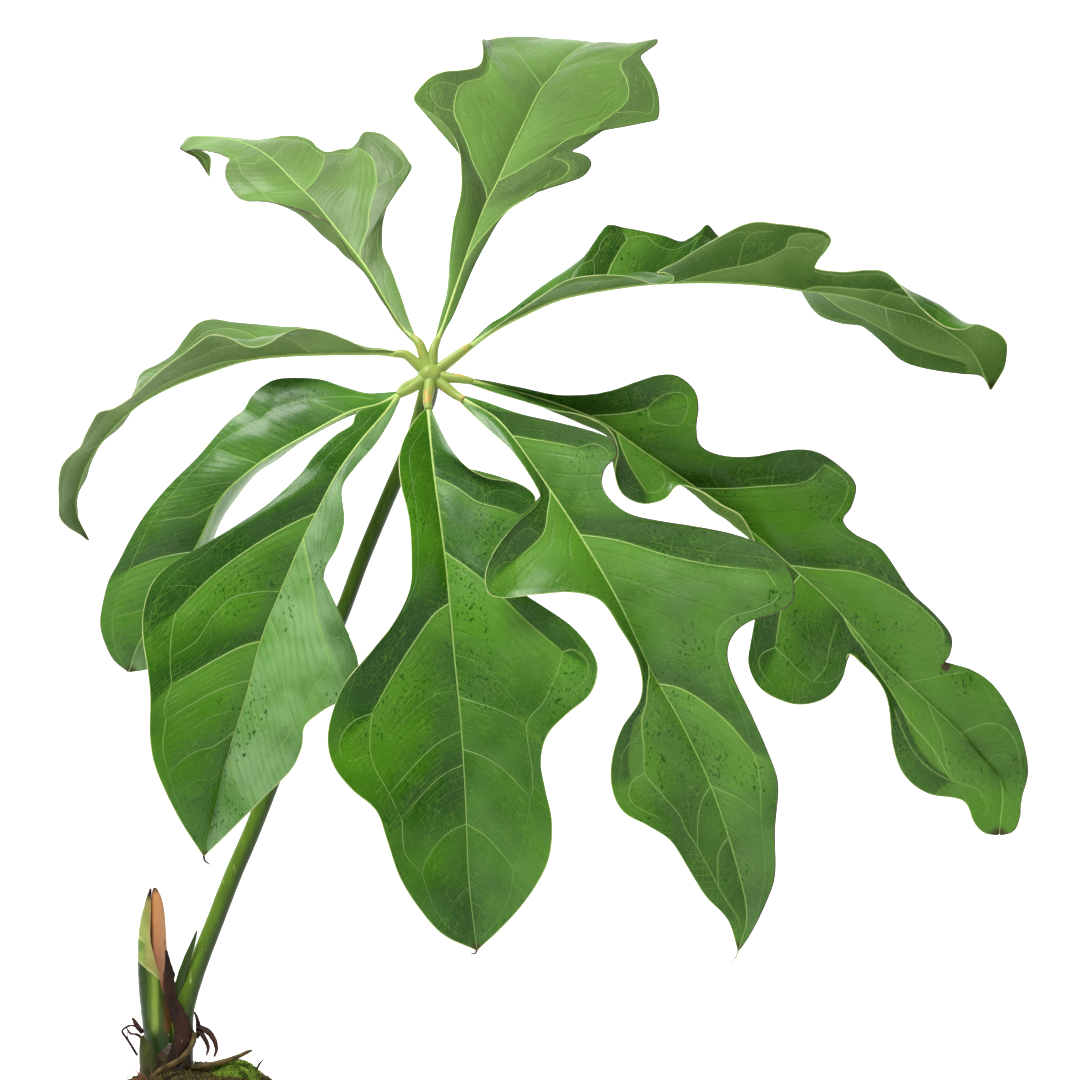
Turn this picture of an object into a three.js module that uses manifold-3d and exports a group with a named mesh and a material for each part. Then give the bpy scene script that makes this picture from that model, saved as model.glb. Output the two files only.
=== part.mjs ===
// Potted Anthurium clavigerum: one palmately divided leaf of nine lobed leaflets on a leaning
// petiole, its sheaths and aerial roots at the crown, a mossy root mound and a plain clay pot.
// Millimetres, +Z up, +X to the right of the front view, -Y towards the viewer.
// The origin is the middle of the pot's underside.
import * as THREE from 'three';
import { mergeVertices } from 'three/addons/utils/BufferGeometryUtils.js';
import Module from 'manifold-3d';

const wasm = await Module();
wasm.setup();

// Pot
const POT_HEIGHT = 140;
const POT_FOOT_RADIUS = 66;
const POT_RIM_RADIUS = 95;
const POT_BAND_HEIGHT = 36;
const POT_WALL = 6;
const POT_FLOOR = 8;
const POT_SIDES = 30;
const DRAIN_HOLE_RADIUS = 6;
const DRAIN_HOLE_OFFSET = 36;
const DRAIN_HOLES = 4;

// Soil and root mound
const SOIL_LEVEL = 127;
const MOUND_TOP = 178;
const MOUND_SHIFT = -2;
const MOSS_SIZE = [17.5, 17, 11];
const MOSS_MIDDLE = [20, -5, 171];
const CLEARANCE = 0.3;

// Leaf blade
const BLADE_HALF_THICKNESS = 0.45;
const BLADE_EDGE_HALF_THICKNESS = 0.36;
const RIB_RADIUS_BASE = 2.5;
const RIB_RADIUS_TIP = 0.7;
const RIB_RISE_ABOVE = 0.3;
const RIB_RISE_BELOW = 0.85;
const BARB_BOW = 0.1;
const HALF_CAMBER = 0.06;
const VEIN_RELIEF = 2.1;
const VEIN_ROUNDNESS = 1.3;
const COLUMNS = [0.4, 0.72, 1];
const STATION_SAMPLES = 400;

// Petiole
const HUB = [148, 0, 627];
const HUB_RADIUS = 8;
const ARM_RADIUS = 3.1;
const ARM_END_RADIUS = 2.3;
const JOINT_GAP = 0.4;

// Every leaflet is laid out by three lines in space. The rib has one point at each station; a
// margin point carries the station of the vein that leads to it, and may carry the camber of the
// half blade there. Left and right are as seen along the rib, looking on the upper face.
const LEAFLETS = {
  leaflet_1: {
    rows: 30,
    rib: [
      [136, 6, 652], [127, 12, 661], [118, 21, 676], [108, 31, 694], [100, 38, 706], [90, 47, 719],
      [79, 58, 733], [66, 71, 749], [53, 84, 762], [38, 100, 778], [24, 117, 789], [7, 134, 797],
      [-12, 154, 802], [-28, 170, 804], [-34, 184, 800], [-27, 192, 796], [-21, 196, 791],
      [-17, 198, 779],
    ],
    left: [
      [134, 5, 651, 0], [128, 9, 659, 0.8], [115, 17, 677, 1.9], [103, 25, 696, 2.8, -1],
      [94, 29, 707, 3.3, -3], [89, 30, 715, 3.6, -5], [84, 31, 721, 3.9, -7],
      [78, 33, 729, 4.3, -8], [68, 38, 734, 4.8, -8], [57, 46, 739, 5.4, -6],
      [44, 56, 744, 6.1, -2], [31, 66, 746, 6.8, 1], [21, 75, 747, 7.3, 2],
      [14, 82, 751, 7.7], [8, 88, 759, 8.1], [5, 94, 766, 8.6], [5, 102, 775, 9.2],
      [6, 109, 780, 9.8], [0, 116, 784, 10.4], [-7, 124, 787, 10.9], [-20, 140, 791, 11.6],
      [-30, 156, 792, 12.2], [-34, 166, 796, 12.8], [-35, 176, 796, 13.6], [-30, 187, 794, 14.6],
      [-25, 193, 791, 15.6], [-17, 198, 779, 17],
    ],
    right: [
      [138, 6, 653, 0], [133, 14, 665, 0.9], [127, 24, 682, 1.8], [121, 33, 698, 2.5],
      [116, 40, 708, 3], [114, 47, 717, 3.4], [114, 54, 730, 3.8], [117, 62, 744, 4.1],
      [123, 68, 757, 4.3], [129, 72, 765, 4.5], [133, 75, 770, 4.7], [130, 79, 776, 4.9],
      [125, 85, 784, 5.1], [119, 91, 790, 5.3], [111, 97, 796, 5.55], [101, 102, 798, 5.85],
      [97, 104, 796, 6.15], [94, 104, 791, 6.5], [89, 105, 787, 6.9], [82, 108, 787, 7.3],
      [73, 111, 786, 7.65], [66, 115, 789, 8], [61, 120, 794, 8.3], [52, 126, 798, 8.65],
      [41, 131, 799, 9.1], [32, 135, 798, 9.6], [21, 141, 798, 10.2], [11, 150, 800, 10.8],
      [0, 160, 802, 11.4], [-12, 170, 804, 12], [-22, 179, 804, 12.8], [-25, 187, 799, 13.8],
      [-21, 193, 797, 14.8], [-16, 197, 793, 15.8], [-17, 198, 779, 17],
    ],
    leftVeins: [1.2, 2.6, 3.9, 5.3, 6.4, 7.6, 9.2, 10.8, 12.4, 14.2],
    rightVeins: [1.4, 2.9, 4.1, 5.6, 7.4, 8.9, 10.5, 12.2, 14],
  },
  leaflet_2: {
    rows: 33,
    rib: [
      [152, 6, 650], [156, 12, 661], [164, 26, 687], [172, 46, 714], [181, 68, 742], [191, 85, 764],
      [199, 101, 785], [209, 120, 809], [219, 140, 832], [229, 155, 846], [237, 170, 859],
      [252, 192, 873], [264, 215, 876], [273, 236, 866], [278, 252, 848], [279, 262, 827],
    ],
    left: [
      [150, 6, 650, 0], [154, 15, 667, 0.8], [158, 24, 684, 1.5], [159, 36, 707, 2.2],
      [161, 48, 731, 2.9], [165, 60, 752, 3.4], [165, 72, 772, 3.8], [163, 79, 784, 4.05],
      [157, 86, 797, 4.3], [147, 92, 807, 4.5], [136, 97, 814, 4.7], [132, 101, 820, 4.9],
      [135, 107, 827, 5.1], [143, 115, 837, 5.35], [153, 122, 842, 5.6], [164, 128, 844, 5.9],
      [174, 134, 847, 6.2], [178, 139, 852, 6.5], [179, 146, 860, 6.8], [178, 154, 869, 7.15],
      [182, 172, 872, 7.8], [193, 190, 876, 8.6], [206, 205, 879, 9.4], [223, 220, 881, 10.3],
      [239, 234, 879, 11.3], [255, 246, 869, 12.4], [269, 255, 850, 13.5], [279, 262, 827, 15],
    ],
    right: [
      [154, 6, 650, 0], [158, 12, 659, 0.6], [163, 18, 669, 1.1], [174, 36, 698, 2.1],
      [184, 51, 719, 2.8], [192, 61, 734, 3.2], [201, 68, 744, 3.5], [215, 77, 753, 3.75],
      [228, 85, 761, 3.95], [243, 92, 764, 4.15], [250, 97, 768, 4.35], [254, 101, 775, 4.6],
      [252, 103, 780, 4.85], [247, 104, 783, 5.1], [241, 105, 785, 5.35], [247, 110, 789, 5.55],
      [258, 117, 798, 5.75], [271, 123, 806, 5.95], [282, 128, 808, 6.15], [297, 133, 809, 6.35],
      [301, 136, 812, 6.6], [302, 140, 820, 6.95], [301, 144, 831, 7.4], [297, 148, 843, 7.9],
      [292, 152, 852, 8.4], [290, 156, 858, 8.8], [294, 160, 862, 9.2], [301, 164, 867, 9.6],
      [302, 170, 871, 10], [295, 178, 871, 10.5], [286, 190, 870, 11.2], [282, 210, 865, 12.1],
      [284, 232, 854, 13.1], [283, 250, 842, 14], [279, 262, 827, 15],
    ],
    leftVeins: [1.1, 2.4, 3.3, 4.3, 5.6, 7, 8.4, 9.8, 11.2, 12.8],
    rightVeins: [1.4, 2.9, 4.1, 4.95, 6.3, 7.7, 9, 10.4, 12, 13.6],
  },
  leaflet_3: {
    rows: 37,
    rib: [
      [173, 5, 646], [188, 10, 657], [206, 16, 667], [232, 24, 679], [262, 34, 686], [295, 46, 691],
      [333, 58, 693], [370, 70, 692], [397, 79, 689], [427, 88, 686], [454, 95, 679],
      [478, 100, 673], [499, 105, 662], [516, 108, 648], [528, 108, 622],
    ],
    left: [
      [173, 7, 648, 0], [186, 14, 661, 0.8], [197, 20, 668, 1.3], [217, 32, 684, 1.9],
      [238, 43, 699, 2.4], [252, 50, 711, 2.75], [258, 54, 720, 3.05], [264, 58, 730, 3.35],
      [277, 63, 729, 3.8], [292, 68, 726, 4.3], [303, 71, 723, 4.7], [313, 74, 720, 5.05],
      [320, 78, 723, 5.25], [327, 83, 728, 5.45], [332, 87, 732, 5.65], [339, 92, 725, 6],
      [352, 100, 714, 6.5], [370, 110, 705, 7], [388, 118, 700, 7.5], [398, 122, 694, 7.8],
      [403, 124, 684, 8.1], [408, 125, 677, 8.35], [415, 126, 672, 8.65], [428, 127, 668, 9.05],
      [440, 129, 667, 9.5], [447, 130, 663, 9.85], [458, 131, 654, 10.3], [468, 130, 644, 10.75],
      [479, 128, 639, 11.25], [494, 124, 636, 11.8], [509, 118, 634, 12.5], [522, 112, 632, 13.2],
      [528, 108, 622, 14],
    ],
    right: [
      [173, 3, 644, 0], [186, 4, 655, 0.7], [197, 4, 663, 1.15], [217, 2, 676, 1.75],
      [237, -2, 687, 2.3], [255, -6, 690, 2.75], [272, -9, 689, 3.15], [284, -11, 686, 3.5, 4],
      [291, -12, 683, 3.75, 6], [299, -10, 683, 4.05, 6], [306, -6, 686, 4.3, 5],
      [305, 0, 690, 4.55, 2], [300, 6, 693, 4.8], [296, 12, 694, 5], [311, 18, 702, 5.25],
      [326, 24, 712, 5.5], [342, 28, 721, 5.75], [354, 30, 727, 6], [365, 31, 729, 6.25],
      [378, 34, 728, 6.5], [393, 38, 727, 6.8], [407, 43, 725, 7.1], [413, 48, 720, 7.4],
      [411, 56, 714, 7.75], [406, 64, 708, 8.1], [404, 70, 703, 8.45], [422, 70, 700, 8.9],
      [440, 68, 701, 9.3], [451, 66, 699, 9.6, 4], [460, 64, 690, 10, 8], [470, 62, 678, 10.4, 10],
      [476, 61, 671, 10.7, 11], [486, 62, 663, 11.1, 11], [494, 64, 660, 11.5, 9],
      [503, 68, 660, 11.9, 6], [513, 74, 664, 12.3, 2], [523, 81, 662, 12.7], [532, 88, 658, 13],
      [538, 95, 650, 13.3], [537, 101, 639, 13.6], [532, 105, 629, 13.8], [528, 108, 622, 14],
    ],
    leftVeins: [1.2, 2.2, 3.3, 4.4, 5.6, 6.8, 8, 9.1, 10.2, 11.3, 12.4],
    rightVeins: [1.4, 2.6, 3.9, 5.1, 6.3, 7.4, 8.6, 9.7, 10.8, 11.9, 12.9],
  },
  leaflet_4: {
    rows: 38,
    rib: [
      [174, -5, 623], [193, -6, 619], [219, -8, 612], [255, -10, 598], [285, -12, 578],
      [322, -14, 552], [356, -17, 525], [383, -19, 501], [407, -20, 479], [430, -18, 446],
      [454, -15, 415], [484, -11, 387], [509, -7, 358], [525, -3, 330],
    ],
    left: [
      [174, -5, 625, 0], [187, -7, 623, 0.5], [206, -11, 619, 1.1], [232, -15, 614, 1.7],
      [258, -19, 615, 2.2], [277, -23, 620, 2.5], [293, -26, 626, 2.7], [307, -28, 626, 2.9],
      [318, -29, 617, 3.15], [321, -29, 606, 3.45], [320, -27, 592, 3.85], [323, -26, 581, 4.2],
      [336, -28, 575, 4.5], [356, -33, 574, 4.75], [378, -38, 578, 4.95], [394, -41, 577, 5.1],
      [409, -43, 568, 5.3], [420, -43, 556, 5.55], [418, -41, 542, 5.9], [413, -38, 533, 6.25],
      [421, -37, 524, 6.55], [436, -38, 516, 6.75], [447, -39, 501, 6.95], [456, -38, 487, 7.15],
      [471, -36, 473, 7.4], [482, -33, 459, 7.75], [482, -28, 447, 8.2], [478, -24, 440, 8.6],
      [482, -23, 438, 8.8], [494, -24, 438, 9], [511, -24, 427, 9.4], [526, -22, 403, 10],
      [534, -17, 375, 10.8], [532, -12, 355, 11.5], [529, -7, 339, 12.3], [525, -3, 330, 13],
    ],
    right: [
      [173, -5, 621, 0], [187, -8, 616, 0.7], [206, -11, 610, 1.2], [225, -16, 604, 1.7, -3],
      [243, -22, 600, 2.15, -6], [257, -27, 594, 2.5, -7], [265, -29, 587, 2.8, -5],
      [269, -27, 576, 3.05], [267, -23, 562, 3.3], [272, -20, 549, 3.6], [285, -19, 543, 3.95],
      [299, -20, 546, 4.35], [308, -22, 555, 4.65, -2], [322, -27, 551, 5, -5],
      [335, -31, 542, 5.35, -7], [347, -33, 535, 5.65, -7], [355, -30, 522, 5.9, -4],
      [360, -25, 506, 6.05], [363, -20, 488, 6.2], [361, -16, 472, 6.35], [356, -13, 455, 6.55],
      [354, -11, 439, 6.9], [363, -10, 423, 7.3], [384, -11, 414, 7.8], [403, -14, 418, 8.25],
      [414, -17, 431, 8.6], [417, -20, 446, 8.85, -2], [426, -24, 440, 9.15, -5],
      [437, -25, 428, 9.6, -6], [443, -22, 413, 10, -4], [446, -16, 388, 10.5],
      [454, -12, 368, 11], [470, -8, 356, 11.5], [493, -5, 351, 12.05], [504, -4, 340, 12.5],
      [525, -3, 330, 13],
    ],
    leftVeins: [1.2, 2.1, 2.95, 4.1, 5.05, 6, 6.95, 8.1, 9.2, 10.3, 11.4],
    rightVeins: [1.4, 2.3, 3.3, 4.3, 5.4, 6.4, 7.5, 8.6, 9.8, 10.9, 12],
  },
  leaflet_5: {
    rows: 34,
    rib: [
      [169, -12, 611], [193, -30, 596], [223, -57, 555], [244, -75, 523], [267, -95, 483],
      [287, -110, 440], [305, -118, 409], [324, -124, 368], [338, -127, 325], [345, -126, 292],
      [340, -120, 268],
    ],
    left: [
      [171, -12, 613, 0], [184, -24, 609, 0.3], [206, -42, 601, 0.6], [232, -58, 594, 0.85],
      [253, -70, 588, 1.05], [265, -76, 582, 1.25], [268, -78, 573, 1.5], [261, -77, 565, 1.8],
      [259, -79, 555, 2.15], [264, -85, 545, 2.45], [276, -93, 536, 2.7], [296, -101, 531, 2.85],
      [320, -108, 527, 2.95], [345, -114, 521, 3.05], [364, -119, 511, 3.15],
      [373, -122, 498, 3.3], [374, -124, 483, 3.5], [364, -124, 475, 3.8], [348, -122, 470, 4.1],
      [338, -121, 462, 4.4], [334, -121, 450, 4.8], [338, -124, 435, 5.2], [348, -130, 414, 5.6],
      [357, -136, 393, 6], [364, -138, 372, 6.5], [362, -138, 345, 7.2], [362, -134, 317, 8],
      [356, -130, 298, 8.6], [347, -125, 279, 9.3], [340, -120, 268, 10],
    ],
    right: [
      [167, -12, 609, 0], [179, -26, 597, 0.5], [201, -46, 576, 1.1], [216, -62, 554, 1.7],
      [218, -70, 543, 2], [203, -83, 528, 2.15], [191, -91, 513, 2.3], [185, -96, 498, 2.5],
      [187, -98, 486, 2.8], [197, -98, 483, 3.1], [216, -100, 485, 3.4], [238, -102, 487, 3.8],
      [256, -107, 482, 4.25], [267, -112, 466, 4.6], [277, -117, 450, 5], [281, -121, 435, 5.35],
      [279, -124, 421, 5.65], [268, -130, 405, 5.9], [262, -134, 387, 6.2], [262, -136, 369, 6.6],
      [269, -137, 355, 7], [283, -136, 347, 7.4], [297, -135, 338, 7.8], [307, -134, 323, 8.2],
      [319, -131, 304, 8.7], [333, -127, 289, 9.3], [340, -120, 268, 10],
    ],
    leftVeins: [0.6, 1.25, 2.3, 3.2, 4.3, 5.2, 6.1, 7, 7.9, 8.8],
    rightVeins: [0.9, 1.6, 2.3, 3.1, 4, 4.9, 5.8, 6.6, 7.4, 8.3],
  },
  leaflet_6: {
    rows: 33,
    rib: [
      [147, -18, 605], [149, -32, 585], [152, -45, 560], [156, -57, 533], [160, -68, 504],
      [163, -76, 476], [166, -84, 445], [170, -92, 406], [173, -97, 359], [175, -97, 310],
      [180, -92, 265],
    ],
    left: [
      [149, -18, 605, 0], [154, -29, 594, 0.5], [162, -42, 579, 1], [173, -52, 566, 1.35],
      [187, -54, 558, 1.6], [205, -54, 555, 1.85], [216, -54, 547, 2.1], [213, -58, 537, 2.4],
      [201, -64, 526, 2.75], [195, -69, 512, 3.1], [197, -75, 498, 3.4], [207, -82, 486, 3.65],
      [222, -89, 477, 3.85], [239, -95, 466, 4.05], [251, -100, 452, 4.3], [255, -102, 439, 4.7],
      [250, -104, 424, 5.2], [236, -104, 412, 5.7], [224, -104, 399, 6.1], [220, -105, 383, 6.5],
      [223, -108, 366, 6.85], [227, -110, 347, 7.25], [225, -108, 324, 7.75],
      [215, -104, 304, 8.3], [200, -99, 285, 8.95], [180, -92, 265, 10],
    ],
    right: [
      [146, -18, 605, 0], [139, -27, 597, 0.4], [132, -37, 584, 0.9], [129, -47, 570, 1.4],
      [131, -56, 552, 1.9], [136, -65, 533, 2.4], [138, -75, 507, 3.1], [137, -83, 488, 3.7],
      [127, -91, 467, 4.15], [113, -97, 449, 4.4], [99, -101, 432, 4.65], [91, -104, 414, 4.95],
      [88, -105, 396, 5.35], [92, -106, 380, 5.8], [103, -107, 366, 6.3], [118, -108, 353, 6.8],
      [125, -108, 334, 7.3], [132, -106, 313, 7.9], [144, -103, 293, 8.5], [159, -98, 276, 9.1],
      [180, -92, 265, 10],
    ],
    leftVeins: [0.8, 1.9, 3.1, 4, 5.3, 6.5, 7.4, 8.3, 9.1],
    rightVeins: [1.2, 2.3, 3.4, 4.7, 6, 7.1, 8, 8.8],
  },
  leaflet_7: {
    rows: 32,
    rib: [
      [128, -10, 614], [119, -22, 601], [104, -38, 582], [90, -50, 561], [79, -58, 539],
      [69, -65, 518], [57, -72, 489], [45, -78, 458], [36, -83, 423], [23, -85, 380], [9, -79, 322],
    ],
    left: [
      [129, -10, 612, 0], [123, -23, 597, 0.7], [114, -36, 581, 1.5], [102, -47, 566, 2.3],
      [94, -55, 552, 2.9], [96, -63, 531, 3.3], [92, -68, 515, 3.7], [85, -72, 502, 4.1],
      [84, -77, 488, 4.5], [89, -83, 470, 4.8], [100, -88, 458, 5], [106, -91, 447, 5.25],
      [106, -93, 433, 5.7], [97, -94, 421, 6.2], [84, -94, 413, 6.7], [74, -94, 404, 7.1],
      [72, -94, 391, 7.5], [65, -92, 377, 7.9], [50, -90, 362, 8.5], [29, -86, 341, 9.2],
      [9, -79, 322, 10],
    ],
    right: [
      [125, -10, 613, 0], [115, -16, 607, 0.4], [104, -23, 603, 0.8], [100, -27, 599, 1.1],
      [98, -31, 593, 1.45], [88, -37, 586, 1.9], [76, -45, 574, 2.3], [66, -52, 560, 2.65],
      [49, -62, 543, 3], [29, -70, 529, 3.3], [8, -76, 516, 3.6], [-12, -80, 504, 3.9],
      [-23, -82, 492, 4.15], [-28, -84, 475, 4.5], [-28, -86, 458, 4.9], [-25, -88, 440, 5.4],
      [-23, -90, 421, 6], [-23, -92, 399, 6.7], [-20, -93, 381, 7.4], [-12, -92, 361, 8.1],
      [-2, -88, 341, 8.9], [9, -79, 322, 10],
    ],
    leftVeins: [1.3, 2.6, 4, 5.2, 6.4, 7.5, 8.4, 9.2],
    rightVeins: [0.9, 1.8, 2.7, 3.7, 5, 6.2, 7.3, 8.2, 9],
  },
  leaflet_8: {
    rows: 28,
    rib: [
      [128, -10, 614], [115, -16, 607], [97, -23, 602], [70, -29, 587], [49, -31, 575],
      [32, -31, 563], [14, -29, 546], [-1, -25, 517], [-20, -20, 483], [-39, -14, 455],
      [-48, -4, 434],
    ],
    left: [
      [127, -10, 612, 0], [113, -15, 605, 1], [95, -20, 599, 2], [67, -15, 585, 3],
      [47, -8, 572, 3.8], [33, -1, 564, 4.5], [21, 4, 550, 5.1], [11, 8, 536, 5.7],
      [2, 10, 517, 6.4], [-5, 10, 493, 7.1], [-12, 10, 466, 7.8], [-21, 8, 448, 8.6],
      [-35, 4, 437, 9.4], [-48, -4, 434, 10],
    ],
    right: [
      [126, -9, 616, 0], [115, -9, 615, 0.4], [105, -8, 615, 0.9], [89, -6, 619, 1.4],
      [74, -5, 623, 1.9], [51, -6, 623, 2.5], [40, -8, 618, 2.9], [33, -11, 611, 3.3],
      [28, -13, 603, 3.6], [18, -15, 595, 4], [1, -17, 575, 4.7], [-19, -18, 555, 5.3],
      [-34, -18, 537, 5.75], [-45, -17, 520, 6.1], [-53, -15, 505, 6.45], [-59, -13, 494, 6.8],
      [-63, -11, 480, 7.2], [-65, -9, 466, 7.7], [-62, -7, 453, 8.3], [-57, -5, 442, 9.1],
      [-48, -4, 434, 10],
    ],
    leftVeins: [1.4, 2.6, 3.8, 4.9, 6, 7.1, 8.2, 9.1],
    rightVeins: [0.8, 1.7, 2.7, 3.8, 4.9, 5.95, 7, 8, 8.9],
  },
  leaflet_9: {
    rows: 32,
    rib: [
      [125, 2, 641], [115, 3, 642], [103, 4, 642], [79, 7, 642], [52, 10, 641], [26, 13, 638],
      [0, 17, 630], [-24, 20, 621], [-47, 23, 608], [-66, 26, 590], [-79, 28, 572], [-86, 28, 554],
      [-87, 27, 538], [-78, 26, 519],
    ],
    left: [
      [125, 0, 643, 0], [116, -1, 644, 0.8], [106, -3, 644, 1.6], [93, -10, 649, 2.15],
      [81, -17, 653, 2.6], [71, -22, 654, 3], [61, -26, 653, 3.35], [52, -29, 648, 3.7, 5],
      [46, -30, 644, 4, 7], [38, -29, 641, 4.3, 8], [30, -26, 642, 4.6, 6], [21, -22, 647, 4.9, 3],
      [14, -18, 650, 5.2], [6, -17, 650, 5.5], [-3, -16, 644, 5.9], [-13, -14, 637, 6.4],
      [-27, -8, 628, 7], [-37, -2, 620, 7.4], [-47, 2, 612, 7.8], [-58, 2, 605, 8.2],
      [-67, -2, 602, 8.5], [-71, -4, 595, 8.8], [-75, -2, 588, 9.1], [-79, 0, 580, 9.4],
      [-84, -3, 575, 9.7], [-89, -6, 568, 10], [-91, -7, 558, 10.6], [-92, -4, 545, 11.3],
      [-93, 0, 536, 11.8], [-89, 8, 529, 12.3], [-83, 17, 524, 12.7], [-78, 26, 519, 13],
    ],
    right: [
      [125, 5, 643, 0], [115, 8, 645, 0.8], [105, 12, 646, 1.6], [88, 22, 651, 2.2],
      [64, 34, 658, 3], [49, 39, 659, 3.4], [32, 44, 661, 3.9], [14, 48, 663, 4.4],
      [3, 51, 665, 4.8], [-5, 52, 664, 5.2], [-11, 52, 660, 5.6], [-18, 52, 651, 6.1],
      [-25, 52, 642, 6.6], [-35, 53, 636, 7.1], [-44, 55, 632, 7.5], [-48, 56, 628, 7.8],
      [-50, 56, 622, 8.1], [-51, 57, 614, 8.4], [-53, 58, 606, 8.7], [-57, 59, 599, 9],
      [-62, 60, 593, 9.3], [-72, 60, 585, 9.75], [-78, 60, 576, 10.15], [-81, 59, 569, 10.5],
      [-83, 57, 561, 11], [-87, 51, 552, 11.5], [-88, 44, 543, 12], [-85, 34, 530, 12.6],
      [-78, 26, 519, 13],
    ],
    leftVeins: [1.8, 2.9, 4.1, 5.3, 6.6, 7.9, 9.1, 10.3, 11.4],
    rightVeins: [1.4, 2.4, 3.6, 4.8, 6, 7.3, 8.5, 9.7, 10.9, 12],
  },
};

// A smooth line through hand-set points
function smoothLine(points) {
  const vectors = points.map((p) => new THREE.Vector3(p[0], p[1], p[2]));
  return new THREE.CatmullRomCurve3(vectors, false, 'catmullrom', 0.5);
}

// A rising, overshoot-free reading of values against the stations they are set at
function monotoneMap(stations, values) {
  const last = stations.length - 1;
  const secant = [];
  for (let i = 0; i < last; i += 1) {
    secant.push((values[i + 1] - values[i]) / (stations[i + 1] - stations[i]));
  }
  const slope = [secant[0]];
  for (let i = 1; i < last; i += 1) {
    const before = secant[i - 1];
    const after = secant[i];
    slope.push(before * after > 0 ? (2 * before * after) / (before + after) : 0);
  }
  slope.push(secant[last - 1]);
  return (station) => {
    let i = 0;
    while (i < last - 1 && station > stations[i + 1]) i += 1;
    const gap = stations[i + 1] - stations[i];
    const p = THREE.MathUtils.clamp((station - stations[i]) / gap, 0, 1);
    const blend = p * p * (3 - 2 * p);
    const leave = p * (1 - p) * (1 - p);
    const arrive = p * p * (p - 1);
    return (
      values[i] * (1 - blend) + values[i + 1] * blend + gap * (slope[i] * leave + slope[i + 1] * arrive)
    );
  };
}

// One margin: the edge point and the half blade's camber at a station
function marginLine(rows) {
  const line = smoothLine(rows);
  const last = rows.length - 1;
  const stations = rows.map((row) => row[3]);
  const place = monotoneMap(stations, rows.map((row, i) => i));
  const extra = monotoneMap(stations, rows.map((row) => row[4] ?? 0));
  return {
    point: (station) => line.getPoint(THREE.MathUtils.clamp(place(station) / last, 0, 1)),
    camber: extra,
  };
}

// Height of the blade between its side veins: creased down on each vein, raised between them
function quilting(station, across, veins, width) {
  let i = 0;
  while (i < veins.length - 2 && station > veins[i + 1]) i += 1;
  const gap = veins[i + 1] - veins[i];
  const p = THREE.MathUtils.clamp((station - veins[i]) / gap, 0, 1);
  const swell = Math.sin(Math.PI * p) ** VEIN_ROUNDNESS;
  const reach = Math.sin(Math.PI * Math.min(across, 0.95) ** 1.2) + 0.35 * across * across;
  return VEIN_RELIEF * swell * reach * Math.min(1, width / 45);
}

// Point of a half blade: a bowed, cambered barb from the rib to the margin
function halfBladePoint(rib, along, edge, side, across, camber, station, veins) {
  const chord = edge.clone().sub(rib);
  const width = chord.length();
  const up = side > 0 ? along.clone().cross(chord) : chord.clone().cross(along);
  up.normalize();
  const middle = rib.clone().addScaledVector(chord, 0.5);
  middle.addScaledVector(along, -BARB_BOW * width);
  middle.addScaledVector(up, HALF_CAMBER * width + camber * 2);
  const point = rib.clone().multiplyScalar((1 - across) ** 2);
  point.addScaledVector(middle, 2 * across * (1 - across));
  point.addScaledVector(edge, across * across);
  return point.addScaledVector(up, quilting(station, across, veins, width));
}

// Stations of the rows, closer together where either margin runs fast
function rowStations(rib, left, right, rows, lastStation) {
  const end = lastStation - 0.08;
  const totals = [0];
  const at = (i) => (end * i) / STATION_SAMPLES;
  const read = (i) => [rib.getPoint(at(i) / lastStation), left.point(at(i)), right.point(at(i))];
  let before = read(0);
  for (let i = 1; i <= STATION_SAMPLES; i += 1) {
    const now = read(i);
    const step = now.reduce((sum, point, k) => sum + point.distanceTo(before[k]), 0);
    totals.push(totals[i - 1] + step);
    before = now;
  }
  const stations = [];
  let i = 0;
  for (let row = 0; row <= rows; row += 1) {
    const wanted = (totals[STATION_SAMPLES] * row) / rows;
    while (i < STATION_SAMPLES - 1 && totals[i + 1] < wanted) i += 1;
    stations.push(at(i + (wanted - totals[i]) / (totals[i + 1] - totals[i])));
  }
  return stations;
}

// Middle surface of a leaflet as rows of points from the left margin to the right one
function leafletRows(shape, grow = 0) {
  const rib = smoothLine(shape.rib);
  const left = marginLine(shape.left);
  const right = marginLine(shape.right);
  const lastStation = shape.rib.length - 1;
  const stations = rowStations(rib, left, right, shape.rows, lastStation);
  return stations.map((station, row) => {
    const part = station / lastStation;
    const middle = rib.getPoint(part);
    const along = rib.getTangent(part);
    const radius = THREE.MathUtils.lerp(RIB_RADIUS_BASE, RIB_RADIUS_TIP, part);
    const halfRow = (margin, side, veins) => {
      const edge = margin.point(station);
      const width = edge.distanceTo(middle) + grow;
      edge.sub(middle).setLength(width).add(middle);
      const columns = [Math.min(0.3, radius / width), ...COLUMNS];
      return columns.map((across) =>
        halfBladePoint(middle, along, edge, side, across, margin.camber(station), station, veins)
      );
    };
    const leftHalf = halfRow(left, 1, shape.leftVeins).reverse();
    const rightHalf = halfRow(right, -1, shape.rightVeins);
    const points = [...leftHalf, middle, ...rightHalf];
    if (row === 0) {
      const foot = middle.clone();
      for (const point of points) {
        point.addScaledVector(along, -point.clone().sub(foot).dot(along) - grow);
      }
    }
    return { points, radius: radius + grow };
  });
}

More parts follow.
